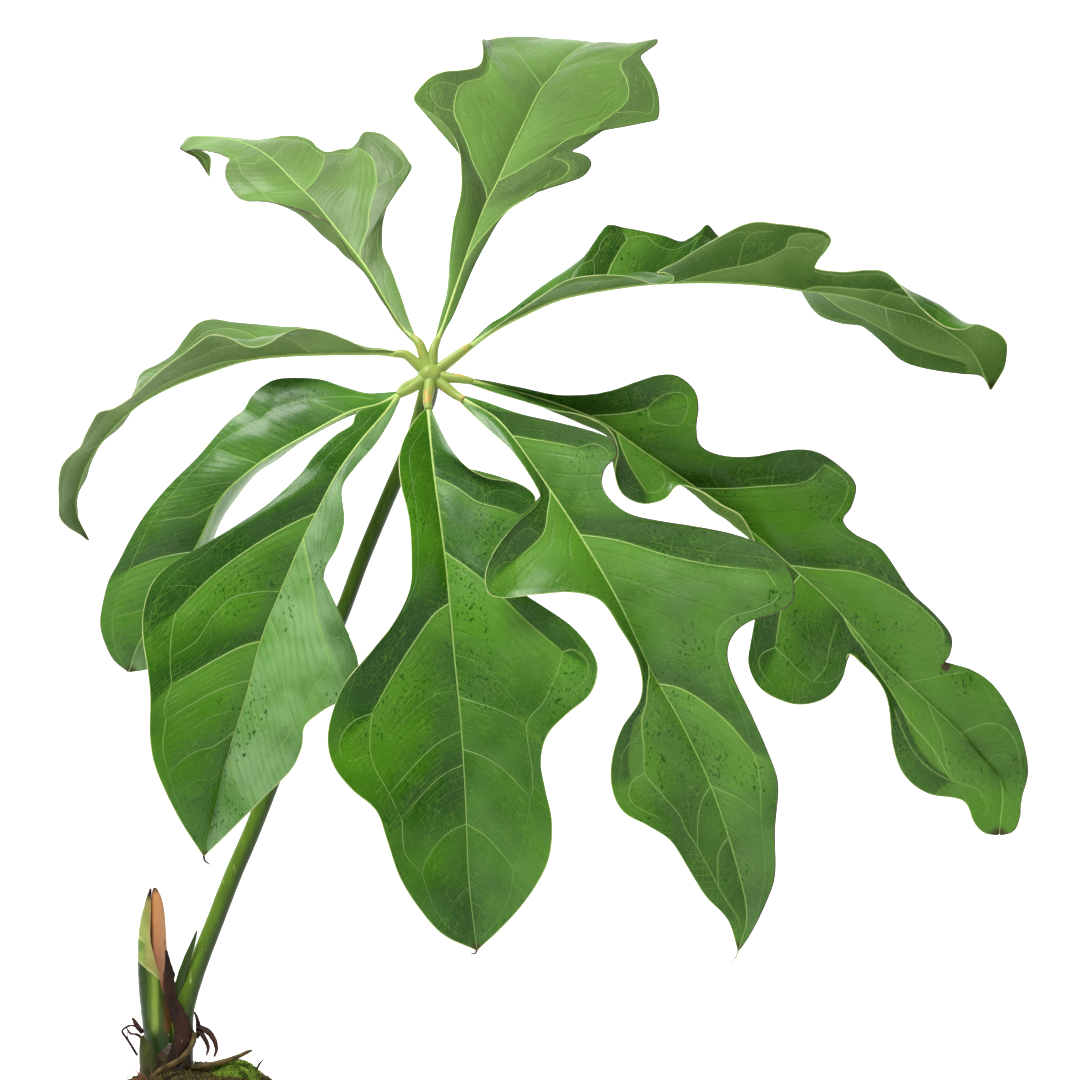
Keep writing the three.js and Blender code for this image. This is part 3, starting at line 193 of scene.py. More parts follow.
PLANS = {
    "leaflet_1": Plan(
        """136 6 652, 127 12 661, 118 21 676, 108 31 694, 100 38 706, 90 47 719, 79 58 733, 66 71 749,
        53 84 762, 38 100 778, 24 117 789, 7 134 797, -12 154 802, -28 170 804, -34 184 800, -27 192 796,
        -21 196 791, -17 198 779""",
        HalfPlan(
            """134 5 651 0, 128 9 659 .8, 115 17 677 1.9, 103 25 696 2.8 -1, 94 29 707 3.3 -3,
        89 30 715 3.6 -5, 84 31 721 3.9 -7, 78 33 729 4.3 -8, 68 38 734 4.8 -8, 57 46 739 5.4 -6,
        44 56 744 6.1 -2, 31 66 746 6.8 1, 21 75 747 7.3 2, 14 82 751 7.7, 8 88 759 8.1, 5 94 766 8.6,
        5 102 775 9.2, 6 109 780 9.8, 0 116 784 10.4, -7 124 787 10.9, -20 140 791 11.6, -30 156 792 12.2,
        -34 166 796 12.8, -35 176 796 13.6, -30 187 794 14.6, -25 193 791 15.6, -17 198 779 17""",
            {
                MEDIUM: """5.8 0, 5.9 .25, 6.05 .55, 5.9 .92 / 7.4 0, 7.5 .3, 7.7 .6 / 5.9 .92, 6.5 .84,
        7.7 .61, 8.1 .63, 8.8 .72, 10 .8, 11.5 .8 / 9.5 0, 9.2 .3, 9.05 .45, 9.2 .72""",
                FINE: """2 .6, 3 .7, 4.5 .8, 5.9 .92 / 7.9 .88, 8.2 .9, 8.8 .88 / 11 0, 11.2 .4, 11.5 .8,
        13 .8, 14.5 .7""",
            }, rim=1,
        ),
        HalfPlan(
            """138 6 653 0, 133 14 665 .9, 127 24 682 1.8, 121 33 698 2.5, 116 40 708 3, 114 47 717 3.4,
        114 54 730 3.8, 117 62 744 4.1, 123 68 757 4.3, 129 72 765 4.5, 133 75 770 4.7, 130 79 776 4.9,
        125 85 784 5.1, 119 91 790 5.3, 111 97 796 5.55, 101 102 798 5.85, 97 104 796 6.15, 94 104 791 6.5,
        89 105 787 6.9, 82 108 787 7.3, 73 111 786 7.65, 66 115 789 8, 61 120 794 8.3, 52 126 798 8.65,
        41 131 799 9.1, 32 135 798 9.6, 21 141 798 10.2, 11 150 800 10.8, 0 160 802 11.4, -12 170 804 12,
        -22 179 804 12.8, -25 187 799 13.8, -21 193 797 14.8, -16 197 793 15.8, -17 198 779 17""",
            {
                STRONG: """4 0, 4.5 .2, 5 .35, 5.2 .56, 5.5 .73, 5.8 .8, 6.4 .88 / 7.5 0, 7.45 .25, 7.5 .5,
        7.6 .75, 7.7 .94""",
                MEDIUM: """5.2 .56, 5 .73, 4.9 .92, 5.15 .94, 5.6 .94 / 9.2 0, 9.05 .3, 8.95 .7, 8.65 .85 /
        6.4 .88, 7 .9, 7.7 .92, 8.65 .86, 9.6 .85, 11 .82, 13 .8""",
                FINE: """1.5 .5, 2.5 .62, 3.4 .68, 4.2 .7, 4.9 .88 / 6.35 0, 6.3 .22, 6 .34, 6.1 .46,
        6.25 .62 / 7 .15, 6.75 .35, 6.75 .5, 6.9 .65 / 10.6 0, 10.5 .4, 10.3 .82 / 12 0, 12 .4, 11.8 .8""",
            },
        ),
        painted_haze=0.6,
    ),
    "leaflet_2": Plan(
        """152 6 650, 156 12 661, 164 26 687, 172 46 714, 181 68 742, 191 85 764, 199 101 785, 209 120 809,
        219 140 832, 229 155 846, 237 170 859, 252 192 873, 264 215 876, 273 236 866, 278 252 848,
        279 262 827""",
        HalfPlan(
            """150 6 650 0, 154 15 667 .8, 158 24 684 1.5, 159 36 707 2.2, 161 48 731 2.9, 165 60 752 3.4,
        165 72 772 3.8, 163 79 784 4.05, 157 86 797 4.3, 147 92 807 4.5, 136 97 814 4.7, 132 101 820 4.9,
        135 107 827 5.1, 143 115 837 5.35, 153 122 842 5.6, 164 128 844 5.9, 174 134 847 6.2, 178 139 852 6.5,
        179 146 860 6.8, 178 154 869 7.15, 182 172 872 7.8, 193 190 876 8.6, 206 205 879 9.4,
        223 220 881 10.3, 239 234 879 11.3, 255 246 869 12.4, 269 255 850 13.5, 279 262 827 15""",
            {
                STRONG: """4.25 0, 4.7 .2, 5.1 .37, 5.25 .52, 5.35 .65, 5.7 .83, 6 .88, 6.5 .83, 7.1 .77,
        7.9 .88""",
                MEDIUM: """5.35 .65, 5.2 .77, 5.22 .9, 5.4 .93, 5.7 .84 / 8.2 0, 8.4 .32, 8.6 .65,
        8.65 .87""",
                FINE: """5.3 .12, 5.45 .27, 5.8 .47, 6 .57, 6.4 .54, 6.5 .7, 6.5 .83 / 2.2 .7, 2.6 .75,
        3.1 .74, 3.6 .7, 3.8 .85 / 7 0, 6.75 .27, 6.4 .54 / 7.9 .88, 8.65 .87, 9.8 .86, 11.2 .84, 12.8 .8 /
        10 0, 10.2 .4, 10.4 .85 / 11.7 0, 11.9 .4, 12.2 .8""",
            },
        ),
        HalfPlan(
            """154 6 650 0, 158 12 659 .6, 163 18 669 1.1, 174 36 698 2.1, 184 51 719 2.8, 192 61 734 3.2,
        201 68 744 3.5, 215 77 753 3.75, 228 85 761 3.95, 243 92 764 4.15, 250 97 768 4.35, 254 101 775 4.6,
        252 103 780 4.85, 247 104 783 5.1, 241 105 785 5.35, 247 110 789 5.55, 258 117 798 5.75,
        271 123 806 5.95, 282 128 808 6.15, 297 133 809 6.35, 301 136 812 6.6, 302 140 820 6.95,
        301 144 831 7.4, 297 148 843 7.9, 292 152 852 8.4, 290 156 858 8.8, 294 160 862 9.2, 301 164 867 9.6,
        302 170 871 10, 295 178 871 10.5, 286 190 870 11.2, 282 210 865 12.1, 284 232 854 13.1,
        283 250 842 14, 279 262 827 15""",
            {
                STRONG: """2.6 0, 2.95 .3, 3.15 .66, 3.4 .87, 3.75 .82, 4.3 .6, 4.5 .74, 4.8 .79, 5.2 .77,
        5.6 .69 / 4.95 0, 5.3 .33, 5.75 .55, 6.15 .55, 6.5 .5, 6.8 .6, 7.3 .76, 7.9 .79, 8.5 .78, 9.1 .82,
        9.8 .75""",
                MEDIUM: """7 .69, 6.9 .85, 6.8 .93, 7.1 .96, 7.6 .96, 8.3 .94 / 9 0, 9.3 .2, 9.65 .48,
        9.9 .67""",
                FINE: """6.8 0, 7 .12, 7.4 .22, 7.75 .38, 7.7 .6 / 9.8 .75, 11 .8, 12.5 .78, 13.6 .7 / 11 0,
        11.4 .4, 11.8 .78""",
            }, rim=1,
        ),
        painted_haze=0.5,
    ),
    "leaflet_3": Plan(
        """173 5 646, 188 10 657, 206 16 667, 232 24 679, 262 34 686, 295 46 691, 333 58 693, 370 70 692,
        397 79 689, 427 88 686, 454 95 679, 478 100 673, 499 105 662, 516 108 648, 528 108 622""",
        HalfPlan(
            """173 7 648 0, 186 14 661 .8, 197 20 668 1.3, 217 32 684 1.9, 238 43 699 2.4, 252 50 711 2.75,
        258 54 720 3.05, 264 58 730 3.35, 277 63 729 3.8, 292 68 726 4.3, 303 71 723 4.7, 313 74 720 5.05,
        320 78 723 5.25, 327 83 728 5.45, 332 87 732 5.65, 339 92 725 6, 352 100 714 6.5, 370 110 705 7,
        388 118 700 7.5, 398 122 694 7.8, 403 124 684 8.1, 408 125 677 8.35, 415 126 672 8.65,
        428 127 668 9.05, 440 129 667 9.5, 447 130 663 9.85, 458 131 654 10.3, 468 130 644 10.75,
        479 128 639 11.25, 494 124 636 11.8, 509 118 634 12.5, 522 112 632 13.2, 528 108 622 14""",
            {
                STRONG: """3.97 0, 3.96 .25, 3.97 .64, 3.97 .83, 3.78 .93 / 8.3 0, 8.6 .2, 9.05 .5, 9.7 .66,
        10.5 .6, 11.2 .61, 12 .61, 12.7 .5""",
                MEDIUM: """3.97 .83, 4.15 .9, 4.35 .92, 4.6 .82, 4.95 .76, 5.6 .8, 6.4 .84, 7.4 .86, 8.4 .86,
        9.4 .86 / 3.15 0, 3.12 .38, 3.45 .46, 3.52 .6, 3.48 .73, 3.55 .9 / 5.4 0, 5.5 .4, 5.6 .8 / 6.6 0,
        6.7 .4, 6.8 .84 / 10 0, 10.3 .43, 10.5 .6""",
                FINE: """3.65 0, 3.65 .27, 3.5 .46 / 4.45 0, 4.35 .36, 4.45 .44 / 11.5 0, 11.7 .3, 11.9 .6""",
            }, rim=1,
        ),
        HalfPlan(
            """173 3 644 0, 186 4 655 .7, 197 4 663 1.15, 217 2 676 1.75, 237 -2 687 2.3, 255 -6 690 2.75,
        272 -9 689 3.15, 284 -11 686 3.5 4, 291 -12 683 3.75 6, 299 -10 683 4.05 6, 306 -6 686 4.3 5,
        305 0 690 4.55 2, 300 6 693 4.8, 296 12 694 5, 311 18 702 5.25, 326 24 712 5.5, 342 28 721 5.75,
        354 30 727 6, 365 31 729 6.25, 378 34 728 6.5, 393 38 727 6.8, 407 43 725 7.1, 413 48 720 7.4,
        411 56 714 7.75, 406 64 708 8.1, 404 70 703 8.45, 422 70 700 8.9, 440 68 701 9.3, 451 66 699 9.6 4,
        460 64 690 10 8, 470 62 678 10.4 10, 476 61 671 10.7 11, 486 62 663 11.1 11, 494 64 660 11.5 9,
        503 68 660 11.9 6, 513 74 664 12.3 2, 523 81 662 12.7, 532 88 658 13, 538 95 650 13.3,
        537 101 639 13.6, 532 105 629 13.8, 528 108 622 14""",
            {
                STRONG: """5.4 0, 5.8 .13, 6.35 .25, 6.7 .38, 6.88 .6, 6.8 .8, 6.9 .9, 7.3 .95 / 8 0,
        8.35 .18, 8.85 .3, 9.5 .28, 10.3 .25, 11 .35""",
                MEDIUM: """6.88 .62, 7.15 .67, 7.35 .7, 7.3 .95 / 6.36 .25, 6.32 .43, 6.25 .68, 6.3 .82,
        6.5 .88 / 9.8 0, 10.2 .4, 10.6 .8 / 3.5 0, 3.8 .4, 4.1 .8 / 1.6 .5, 2.3 .68, 3 .75, 4.1 .8, 5 .82,
        5.8 .86, 6.3 .82 / 7.3 .95, 8 .86, 9 .84, 10.6 .82, 11.8 .8, 12.8 .7""",
            },
        ),
        painted_haze=0.08,
    ),
    "leaflet_4": Plan(
        """174 -5 623, 193 -6 619, 219 -8 612, 255 -10 598, 285 -12 578, 322 -14 552, 356 -17 525,
        383 -19 501, 407 -20 479, 433 -18 449, 461 -15 423, 491 -11 395, 517 -7 366, 517 -4 328""",
        HalfPlan(
            """174 -5 625 0, 187 -7 623 .5, 206 -11 619 1.1, 232 -15 614 1.7, 258 -19 615 2.2,
        277 -23 620 2.5, 293 -26 626 2.7, 307 -28 626 2.9, 318 -29 617 3.15, 321 -29 606 3.45,
        320 -27 592 3.85, 323 -26 581 4.2, 336 -28 575 4.5, 356 -33 574 4.75, 378 -38 578 4.95,
        394 -41 577 5.1, 409 -43 568 5.3, 420 -43 556 5.55, 418 -41 542 5.9, 413 -38 533 6.25,
        421 -37 524 6.55, 436 -38 516 6.75, 447 -39 501 6.95, 456 -38 487 7.15, 471 -36 473 7.4,
        482 -33 459 7.75, 482 -28 447 8.2, 478 -24 440 8.6, 482 -23 438 8.8, 494 -24 438 9, 511 -24 427 9.4,
        526 -22 403 10, 534 -17 375 10.8, 532 -12 355 11.5, 530 -7 340 12.2, 526 -5 331 12.7,
        517 -4 328 13""",
            {
                STRONG: """2.88 0, 3.1 .18, 3.22 .35, 3.24 .5 / 4.95 0, 5.2 .2, 5.37 .48, 5.42 .7, 5.27 .92 /
        6.9 0, 7 .25, 7.02 .6, 7.15 .86, 7.4 .94, 8 .94""",
                MEDIUM: """3.24 .5, 3.12 .7, 3.16 .88, 3.45 .89, 3.74 .8 / 3.24 .5, 3.5 .46, 3.68 .62,
        3.74 .8 / 5.27 .92, 5.5 .95, 5.85 .92, 6.3 .86 / 9.8 0, 9.56 .34, 9.39 .58, 9.17 .89 / 11 0, 10.7 .28,
        10.3 .62, 10.18 .82, 10.4 .91, 11 .91""",
                FINE: """5.4 .68, 5.5 .78, 5.62 .9 / 5.12 .13, 4.85 .3, 4.55 .8 / 5.25 .28, 5.03 .42, 4.9 .7 /
        5.35 .48, 5.17 .62, 5.07 .78 / 7 .12, 6.73 .24, 6.6 .42 / 7.02 .6, 6.88 .78, 6.8 .88 / 6.3 .86,
        6.7 .88, 7.15 .86 / 8 .94, 8.6 .93, 9.15 .9, 10.15 .85 / 11 .91, 11.6 .9, 12.3 .8 / 8.17 0, 8.38 .22,
        8.28 .55, 8.2 .7 / 11.7 0, 11.2 .42, 10.88 .64, 10.8 .88""",
            }, rim=1,
        ),
        HalfPlan(
            """173 -5 621 0, 187 -8 616 .7, 206 -11 610 1.2, 225 -16 604 1.7 -3, 243 -22 600 2.15 -6,
        257 -27 594 2.5 -7, 265 -29 587 2.8 -5, 269 -27 576 3.05, 267 -23 562 3.3, 272 -20 549 3.6,
        285 -19 543 3.95, 299 -20 546 4.35, 308 -22 555 4.65 -2, 322 -27 551 5 -5, 335 -31 542 5.35 -7,
        347 -33 535 5.65 -7, 355 -30 522 5.9 -4, 360 -25 506 6.05, 363 -20 488 6.2, 361 -16 472 6.35,
        356 -13 455 6.55, 354 -11 439 6.9, 363 -10 423 7.3, 384 -11 414 7.8, 403 -14 418 8.25,
        414 -17 431 8.6, 417 -20 446 8.85 -2, 426 -24 440 9.15 -5, 437 -25 428 9.6 -6, 443 -22 413 10 -4,
        446 -16 388 10.5, 454 -12 368 11, 470 -8 356 11.5, 493 -5 351 12.05, 500 -5 337 12.45,
        507 -4 330 12.8, 517 -4 328 13""",
            {
                STRONG: """3.45 0, 3.65 .27, 3.95 .62, 4.07 .8 / 7.15 0, 7.12 .25, 7.25 .48, 7.33 .63 / 8.3 0,
        8.76 .16, 9.4 .4, 9.9 .6, 10.3 .55, 10.7 .46, 11.1 .46, 11.64 .64""",
                MEDIUM: """4.07 .8, 4.3 .78, 4.4 .58, 4.37 .25 / 7.33 .63, 7.15 .75, 7.13 .86, 7.45 .91 /
        7.33 .63, 7.65 .68, 8.03 .8 / 8.03 .8, 8.2 .65, 8.2 .4, 8.22 .08 / 10.1 .78, 10.5 .72, 11 .68,
        11.64 .64, 12 .59, 12.5 .48 / 10.25 0, 10.5 .12, 10.95 .26, 11.6 .61""",
                FINE: """7.33 .63, 7.5 .7, 7.63 .8 / 4.4 .58, 5 .8, 5.5 .85, 6.2 .8, 6.9 .8, 7.13 .86 /
        8.03 .8, 8.6 .86, 9.4 .88, 10.1 .78 / 5.6 0, 5.7 .4, 5.8 .82 / 1.6 .5, 2.3 .66, 3 .74, 4.07 .8""",
            },
        ),
        painted_haze=0.1,
    ),
    "leaflet_5": Plan(
        """169 -12 611, 193 -30 596, 223 -57 555, 244 -75 523, 267 -95 483, 287 -110 440, 305 -118 409,
        324 -124 368, 338 -127 325, 345 -126 292, 340 -120 268""",
        HalfPlan(
            """171 -12 613 0, 184 -24 609 .3, 206 -42 601 .6, 232 -58 594 .85, 253 -70 588 1.05,
        265 -76 582 1.25, 268 -78 573 1.5, 261 -77 565 1.8, 259 -79 555 2.15, 264 -85 545 2.45,
        276 -93 536 2.7, 296 -101 531 2.85, 320 -108 527 2.95, 345 -114 521 3.05, 364 -119 511 3.15,
        373 -122 498 3.3, 374 -124 483 3.5, 364 -124 475 3.8, 348 -122 470 4.1, 338 -121 462 4.4,
        334 -121 450 4.8, 338 -124 435 5.2, 348 -130 414 5.6, 357 -136 393 6, 364 -138 372 6.5,
        362 -138 345 7.2, 362 -134 317 8, 356 -130 298 8.6, 347 -125 279 9.3, 340 -120 268 10""",
            {
                STRONG: """1.28 0, 1.38 .25, 1.48 .63 / 3 0, 3.15 .18, 3.32 .38, 3.37 .6, 3.32 .88 / 5.25 0,
        5.42 .3, 5.8 .63, 6.15 .8""",
                MEDIUM: """1.48 .63, 1.38 .8, 1.45 .9, 1.6 .94 / 3.32 .88, 3.5 .93, 3.85 .91, 4.3 .86,
        4.75 .88 / 6.15 .8, 6.6 .78, 7.1 .78 / 6.95 0, 6.98 .2, 7 .45, 7.1 .78""",
                FINE: """1.48 .63, 1.8 .78, 2.1 .72, 2.4 .63, 2.6 .6 / 3.2 .2, 3 .32, 2.85 .7 / 3.34 .41,
        3.15 .5, 3.07 .6 / 3.37 .58, 3.18 .72, 3.08 .92 / 4.75 .88, 5.2 .9, 5.7 .88, 6.15 .8 / 7.1 .78,
        7.7 .78, 8.4 .76, 9 .84, 9.3 .92 / 7.5 0, 7.55 .2, 7.67 .45 / 7.85 0, 7.95 .25, 8.05 .5 / 8.25 0,
        8.3 .35, 8.35 .7""",
            }, rim=1, pale=0.15,
        ),
        HalfPlan(
            """167 -12 609 0, 179 -26 597 .5, 201 -46 576 1.1, 216 -62 554 1.7, 218 -70 543 2,
        203 -83 528 2.15, 191 -91 513 2.3, 185 -96 498 2.5, 187 -98 486 2.8, 197 -98 483 3.1,
        216 -100 485 3.4, 238 -102 487 3.8, 256 -107 482 4.25, 267 -112 466 4.6, 277 -117 450 5,
        281 -121 435 5.35, 279 -124 421 5.65, 268 -130 405 5.9, 262 -134 387 6.2, 262 -136 369 6.6,
        269 -137 355 7, 283 -136 347 7.4, 297 -135 338 7.8, 307 -134 323 8.2, 319 -131 304 8.7,
        333 -127 289 9.3, 340 -120 268 10""",
            {
                STRONG: """2.05 0, 2.35 .14, 2.7 .3, 2.76 .63 / 4.9 0, 5.2 .45, 5.5 .76, 5.87 .62, 6.23 .56,
        6.6 .61""",
                MEDIUM: """6.6 .61, 6.65 .77, 6.85 .86, 7.15 .82, 7.37 .77 / 6.6 .61, 6.95 .54, 7.35 .53,
        7.7 .62, 8.25 .59, 8.9 .5, 9.4 .3 / 6.95 0, 7.2 .2, 7.55 .4, 7.93 .62 / 7.65 0, 7.95 .27, 8.25 .42,
        8.55 .56""",
                FINE: """2.7 .31, 2.5 .4, 2.43 .55, 2.5 .7, 2.76 .63 / 2.76 .63, 2.62 .78, 2.66 .88, 3 .89 /
        2.76 .63, 2.95 .7, 3.1 .8 / 3 .89, 3.6 .9, 4.3 .88, 4.9 .84, 5.5 .78 / 6.15 .6, 6.15 .8, 6.4 .88,
        6.8 .91, 7.4 .9""",
            },
        ),
        painted_haze=0.1, hook="0 0 1 .5, -1.5 0 -3 .4, -4.5 0 -6.5 .3, -6 0 -10 .15",
    ),
    "leaflet_6": Plan(
        """147 -18 605, 149 -32 585, 152 -45 560, 156 -57 533, 160 -68 504, 163 -76 476, 166 -84 445,
        170 -92 406, 173 -97 359, 175 -97 310, 180 -92 265""",
        HalfPlan(
            """149 -18 605 0, 154 -29 594 .5, 162 -42 579 1, 173 -52 566 1.35, 187 -54 558 1.6,
        205 -54 555 1.85, 216 -54 547 2.1, 213 -58 537 2.4, 201 -64 526 2.75, 195 -69 512 3.1,
        197 -75 498 3.4, 207 -82 486 3.65, 222 -89 477 3.85, 239 -95 466 4.05, 251 -100 452 4.3,
        255 -102 439 4.7, 250 -104 424 5.2, 236 -104 412 5.7, 224 -104 399 6.1, 220 -105 383 6.5,
        223 -108 366 6.85, 227 -110 347 7.25, 225 -108 324 7.75, 215 -104 304 8.3, 200 -99 285 8.95,
        180 -92 265 10""",
            {
                STRONG: """2 0, 2.25 .2, 2.5 .45, 2.5 .75, 2.5 .92 / 3.7 0, 3.9 .2, 4.25 .38, 4.6 .55,
        4.8 .77""",
                MEDIUM: """4.8 .77, 4.6 .85, 4.65 .93, 5 .94, 5.4 .9 / 4.8 .77, 5.3 .78, 5.8 .83, 6.2 .81,
        6.6 .87, 7 .83, 7.25 .76 / 6.6 0, 6.5 .24, 6.35 .5, 6.2 .79 / 7.35 0, 7.25 .25, 7.2 .5, 7.25 .76 /
        8.3 0, 8.25 .3, 8.28 .55, 8.32 .72""",
                FINE: """2.5 .55, 2.35 .52, 2.2 .65, 2.2 .85, 2.25 .96 / 5.9 0, 5.85 .25, 5.95 .5, 6.1 .78 /
        7.25 .76, 7.7 .73, 8.1 .73, 8.32 .72 / 8.32 .72, 8.7 .82, 9.1 .84, 9.5 .78, 9.75 .6 / 9.3 0, 9.25 .35,
        9.3 .8 / 2.5 .92, 3 .88, 3.6 .85, 4.2 .86, 4.65 .93""",
            }, pale=0.12,
        ),
        HalfPlan(
            """146 -18 605 0, 139 -27 597 .4, 132 -37 584 .9, 129 -47 570 1.4, 131 -56 552 1.9,
        136 -65 533 2.4, 138 -75 507 3.1, 137 -83 488 3.7, 127 -91 467 4.15, 113 -97 449 4.4,
        99 -101 432 4.65, 91 -104 414 4.95, 88 -105 396 5.35, 92 -106 380 5.8, 103 -107 366 6.3,
        118 -108 353 6.8, 125 -108 334 7.3, 132 -106 313 7.9, 144 -103 293 8.5, 159 -98 276 9.1,
        180 -92 265 10""",
            {
                STRONG: """4.85 0, 4.9 .15, 5.2 .33, 5.5 .52, 5.7 .66""",
                MEDIUM: """5.7 .66, 6.2 .78, 6.8 .85, 7.3 .81 / 5.7 .66, 5.5 .82, 5.6 .92, 5.95 .91, 6.2 .78 /
        7.1 0, 6.95 .3, 6.88 .6, 6.83 .86 / 7.55 0, 7.4 .3, 7.33 .6, 7.3 .8 / 7.3 .81, 7.75 .86, 8.22 .77 /
        8.3 0, 8.15 .35, 8.15 .65, 8.22 .77""",
                FINE: """.75 .3, 1.3 .66, 2 .68, 2.7 .76, 3.5 .8, 4.4 .84, 5.45 .86 / 6.5 0, 6.3 .22, 6.25 .4,
        6.25 .6 / 8.22 .77, 8.7 .83, 9.2 .84, 9.5 .76 / 9.1 0, 9 .4, 9 .82""",
            },
        ),
        hook="0 0 1 .7, -1.5 0 -1.5 .6, -4.5 0 -1 .2", brown=True,
    ),
    "leaflet_7": Plan(
        """128 -10 614, 119 -22 601, 104 -38 582, 90 -50 561, 79 -58 539, 69 -65 518, 57 -72 489, 45 -78 458,
        36 -83 423, 23 -85 380, 9 -79 322""",
        HalfPlan(
            """129 -10 612 0, 123 -23 597 .7, 114 -36 581 1.5, 102 -47 566 2.3, 94 -55 552 2.9,
        96 -63 531 3.3, 92 -68 515 3.7, 85 -72 502 4.1, 84 -77 488 4.5, 89 -83 470 4.8, 100 -88 458 5,
        106 -91 447 5.25, 106 -93 433 5.7, 97 -94 421 6.2, 84 -94 413 6.7, 74 -94 404 7.1, 72 -94 391 7.5,
        65 -92 377 7.9, 50 -90 362 8.5, 29 -86 341 9.2, 9 -79 322 10""",
            {
                STRONG: """4.88 0, 5.15 .15, 5.5 .3, 5.8 .42, 5.96 .61""",
                MEDIUM: """5.96 .61, 6.15 .74, 6.6 .79, 7 .87, 7.43 .8 / 6.6 0, 6.75 .22, 7 .46, 7.28 .65,
        7.43 .8 / 7.43 .8, 7.85 .75, 8.24 .69 / 7.85 0, 8.05 .25, 8.15 .5, 8.24 .69 / 8.85 0, 8.92 .3, 8.9 .5,
        8.92 .69""",
                FINE: """3.1 0, 3.3 .35, 3.6 .56, 4.1 .72, 4.6 .8, 5 .85, 5.5 .86 / 5.96 .61, 5.65 .68,
        5.45 .8, 5.6 .88, 6.1 .9 / 8.24 .69, 8.55 .76, 8.92 .69 / 8.92 .69, 9.3 .6, 9.6 .35""",
            }, pale=0.68,
        ),
        HalfPlan(
            """125 -10 613 0, 115 -16 607 .4, 104 -23 603 .8, 100 -27 599 1.1, 98 -31 593 1.45,
        88 -37 586 1.9, 76 -45 574 2.3, 66 -52 560 2.65, 49 -62 543 3, 29 -70 529 3.3, 8 -76 516 3.6,
        -12 -80 504 3.9, -23 -82 492 4.15, -28 -84 475 4.5, -28 -86 458 4.9, -25 -88 440 5.4, -23 -90 421 6,
        -23 -92 399 6.7, -20 -93 381 7.4, -12 -92 361 8.1, -2 -88 341 8.9, 9 -79 322 10""",
            {
                STRONG: """4.1 0, 4.25 .15, 4.47 .38, 4.65 .6, 4.88 .81 / 7.05 0, 6.75 .25, 6.5 .5, 6.3 .7,
        6.12 .85""",
                MEDIUM: """4.88 .81, 5.3 .85, 5.8 .86, 6.12 .85, 6.45 .89, 6.77 .87 / 6.77 .87, 7.3 .91,
        7.78 .92 / 6.05 0, 5.6 .28, 5.38 .45, 5.46 .57, 5.7 .68, 5.6 .84 / 7.75 0, 7.4 .33, 7.1 .6, 6.77 .87 /
        8.55 0, 8.3 .4, 7.95 .68, 7.78 .92""",
                FINE: """.9 .35, 1.6 .45, 2.5 .6, 3.3 .66, 4.1 .7, 4.15 .85, 4.5 .94, 5 .96, 5.4 .96 /
        4.67 .69, 4.46 .8, 4.35 .89 / 8 .2, 7.7 .47, 7.55 .68 / 9 0, 8.85 .4, 8.45 .7, 8.28 .93 / 7.78 .92,
        8.3 .94, 8.9 .94, 9.4 .88""",
            }, pale=0.05,
        ),
        hook="0 0 1 .8, 1 0 -2.5 .7, 5 0 -5 .2", brown=True,
    ),
    "leaflet_8": Plan(
        """128 -10 614, 115 -16 607, 97 -23 602, 70 -29 587, 49 -31 575, 32 -31 563, 14 -29 546, -1 -25 517,
        -20 -20 483, -39 -14 455, -48 -4 434""",
        HalfPlan(
            """127 -10 612 0, 113 -15 605 1, 95 -20 599 2, 67 -15 585 3, 47 -8 572 3.8, 33 -1 564 4.5,
        21 4 550 5.1, 11 8 536 5.7, 2 10 517 6.4, -5 10 493 7.1, -12 10 466 7.8, -21 8 448 8.6, -35 4 437 9.4,
        -48 -4 434 10""",
            {
                STRONG: """5.95 0, 6.3 .2, 6.8 .3, 7.5 .45, 8.2 .5""",
                MEDIUM: """2.3 .6, 3 .7, 4 .72, 5 .72, 6 .74, 7 .72, 8 .74, 9 .6 / 3.2 0, 3.6 .4, 4 .72 /
        4.6 0, 4.9 .4, 5.1 .72""",
            }, pale=0.8,
        ),
        HalfPlan(
            """126 -9 616 0, 115 -9 615 .4, 105 -8 615 .9, 89 -6 619 1.4, 74 -5 623 1.9, 51 -6 623 2.5,
        40 -8 618 2.9, 33 -11 611 3.3, 28 -13 603 3.6, 18 -15 595 4, 1 -17 575 4.7, -19 -18 555 5.3,
        -34 -18 537 5.75, -45 -17 520 6.1, -53 -15 505 6.45, -59 -13 494 6.8, -63 -11 480 7.2, -65 -9 466 7.7,
        -62 -7 453 8.3, -57 -5 442 9.1, -48 -4 434 10""",
            {
                STRONG: """7.15 0, 7.05 .22, 6.93 .5, 6.85 .78""",
                MEDIUM: """.9 .35, 1.4 .4, 1.9 .38, 2.5 .46, 3.3 .63, 3.9 .7, 4.4 .84, 4.9 .86, 5.5 .83,
        6.1 .82, 6.85 .78, 7.6 .84, 8.2 .86, 8.9 .84, 9.5 .76 / 2.1 0, 2.3 .2, 2.5 .44 / 4.6 0, 4.63 .43,
        4.56 .84 / 6.1 0, 6.25 .25, 6.14 .46, 5.98 .82 / 8.2 0, 8 .45, 7.8 .84""",
                FINE: """2.8 .8, 3.05 .7, 3.3 .63 / 3.5 0, 3.75 .35, 3.88 .68 / 5.4 0, 5.5 .4, 5.45 .82 /
        8.8 0, 8.6 .5, 8.45 .85""",
            }, rim=0.7, pale=0.15,
        ),
    ),
    "leaflet_9": Plan(
        """125 2 641, 115 3 642, 103 4 642, 79 7 642, 52 10 641, 26 13 638, 0 17 630, -24 20 621, -47 23 608,
        -66 26 590, -79 28 572, -86 28 554, -87 27 538, -78 26 519""",
        HalfPlan(
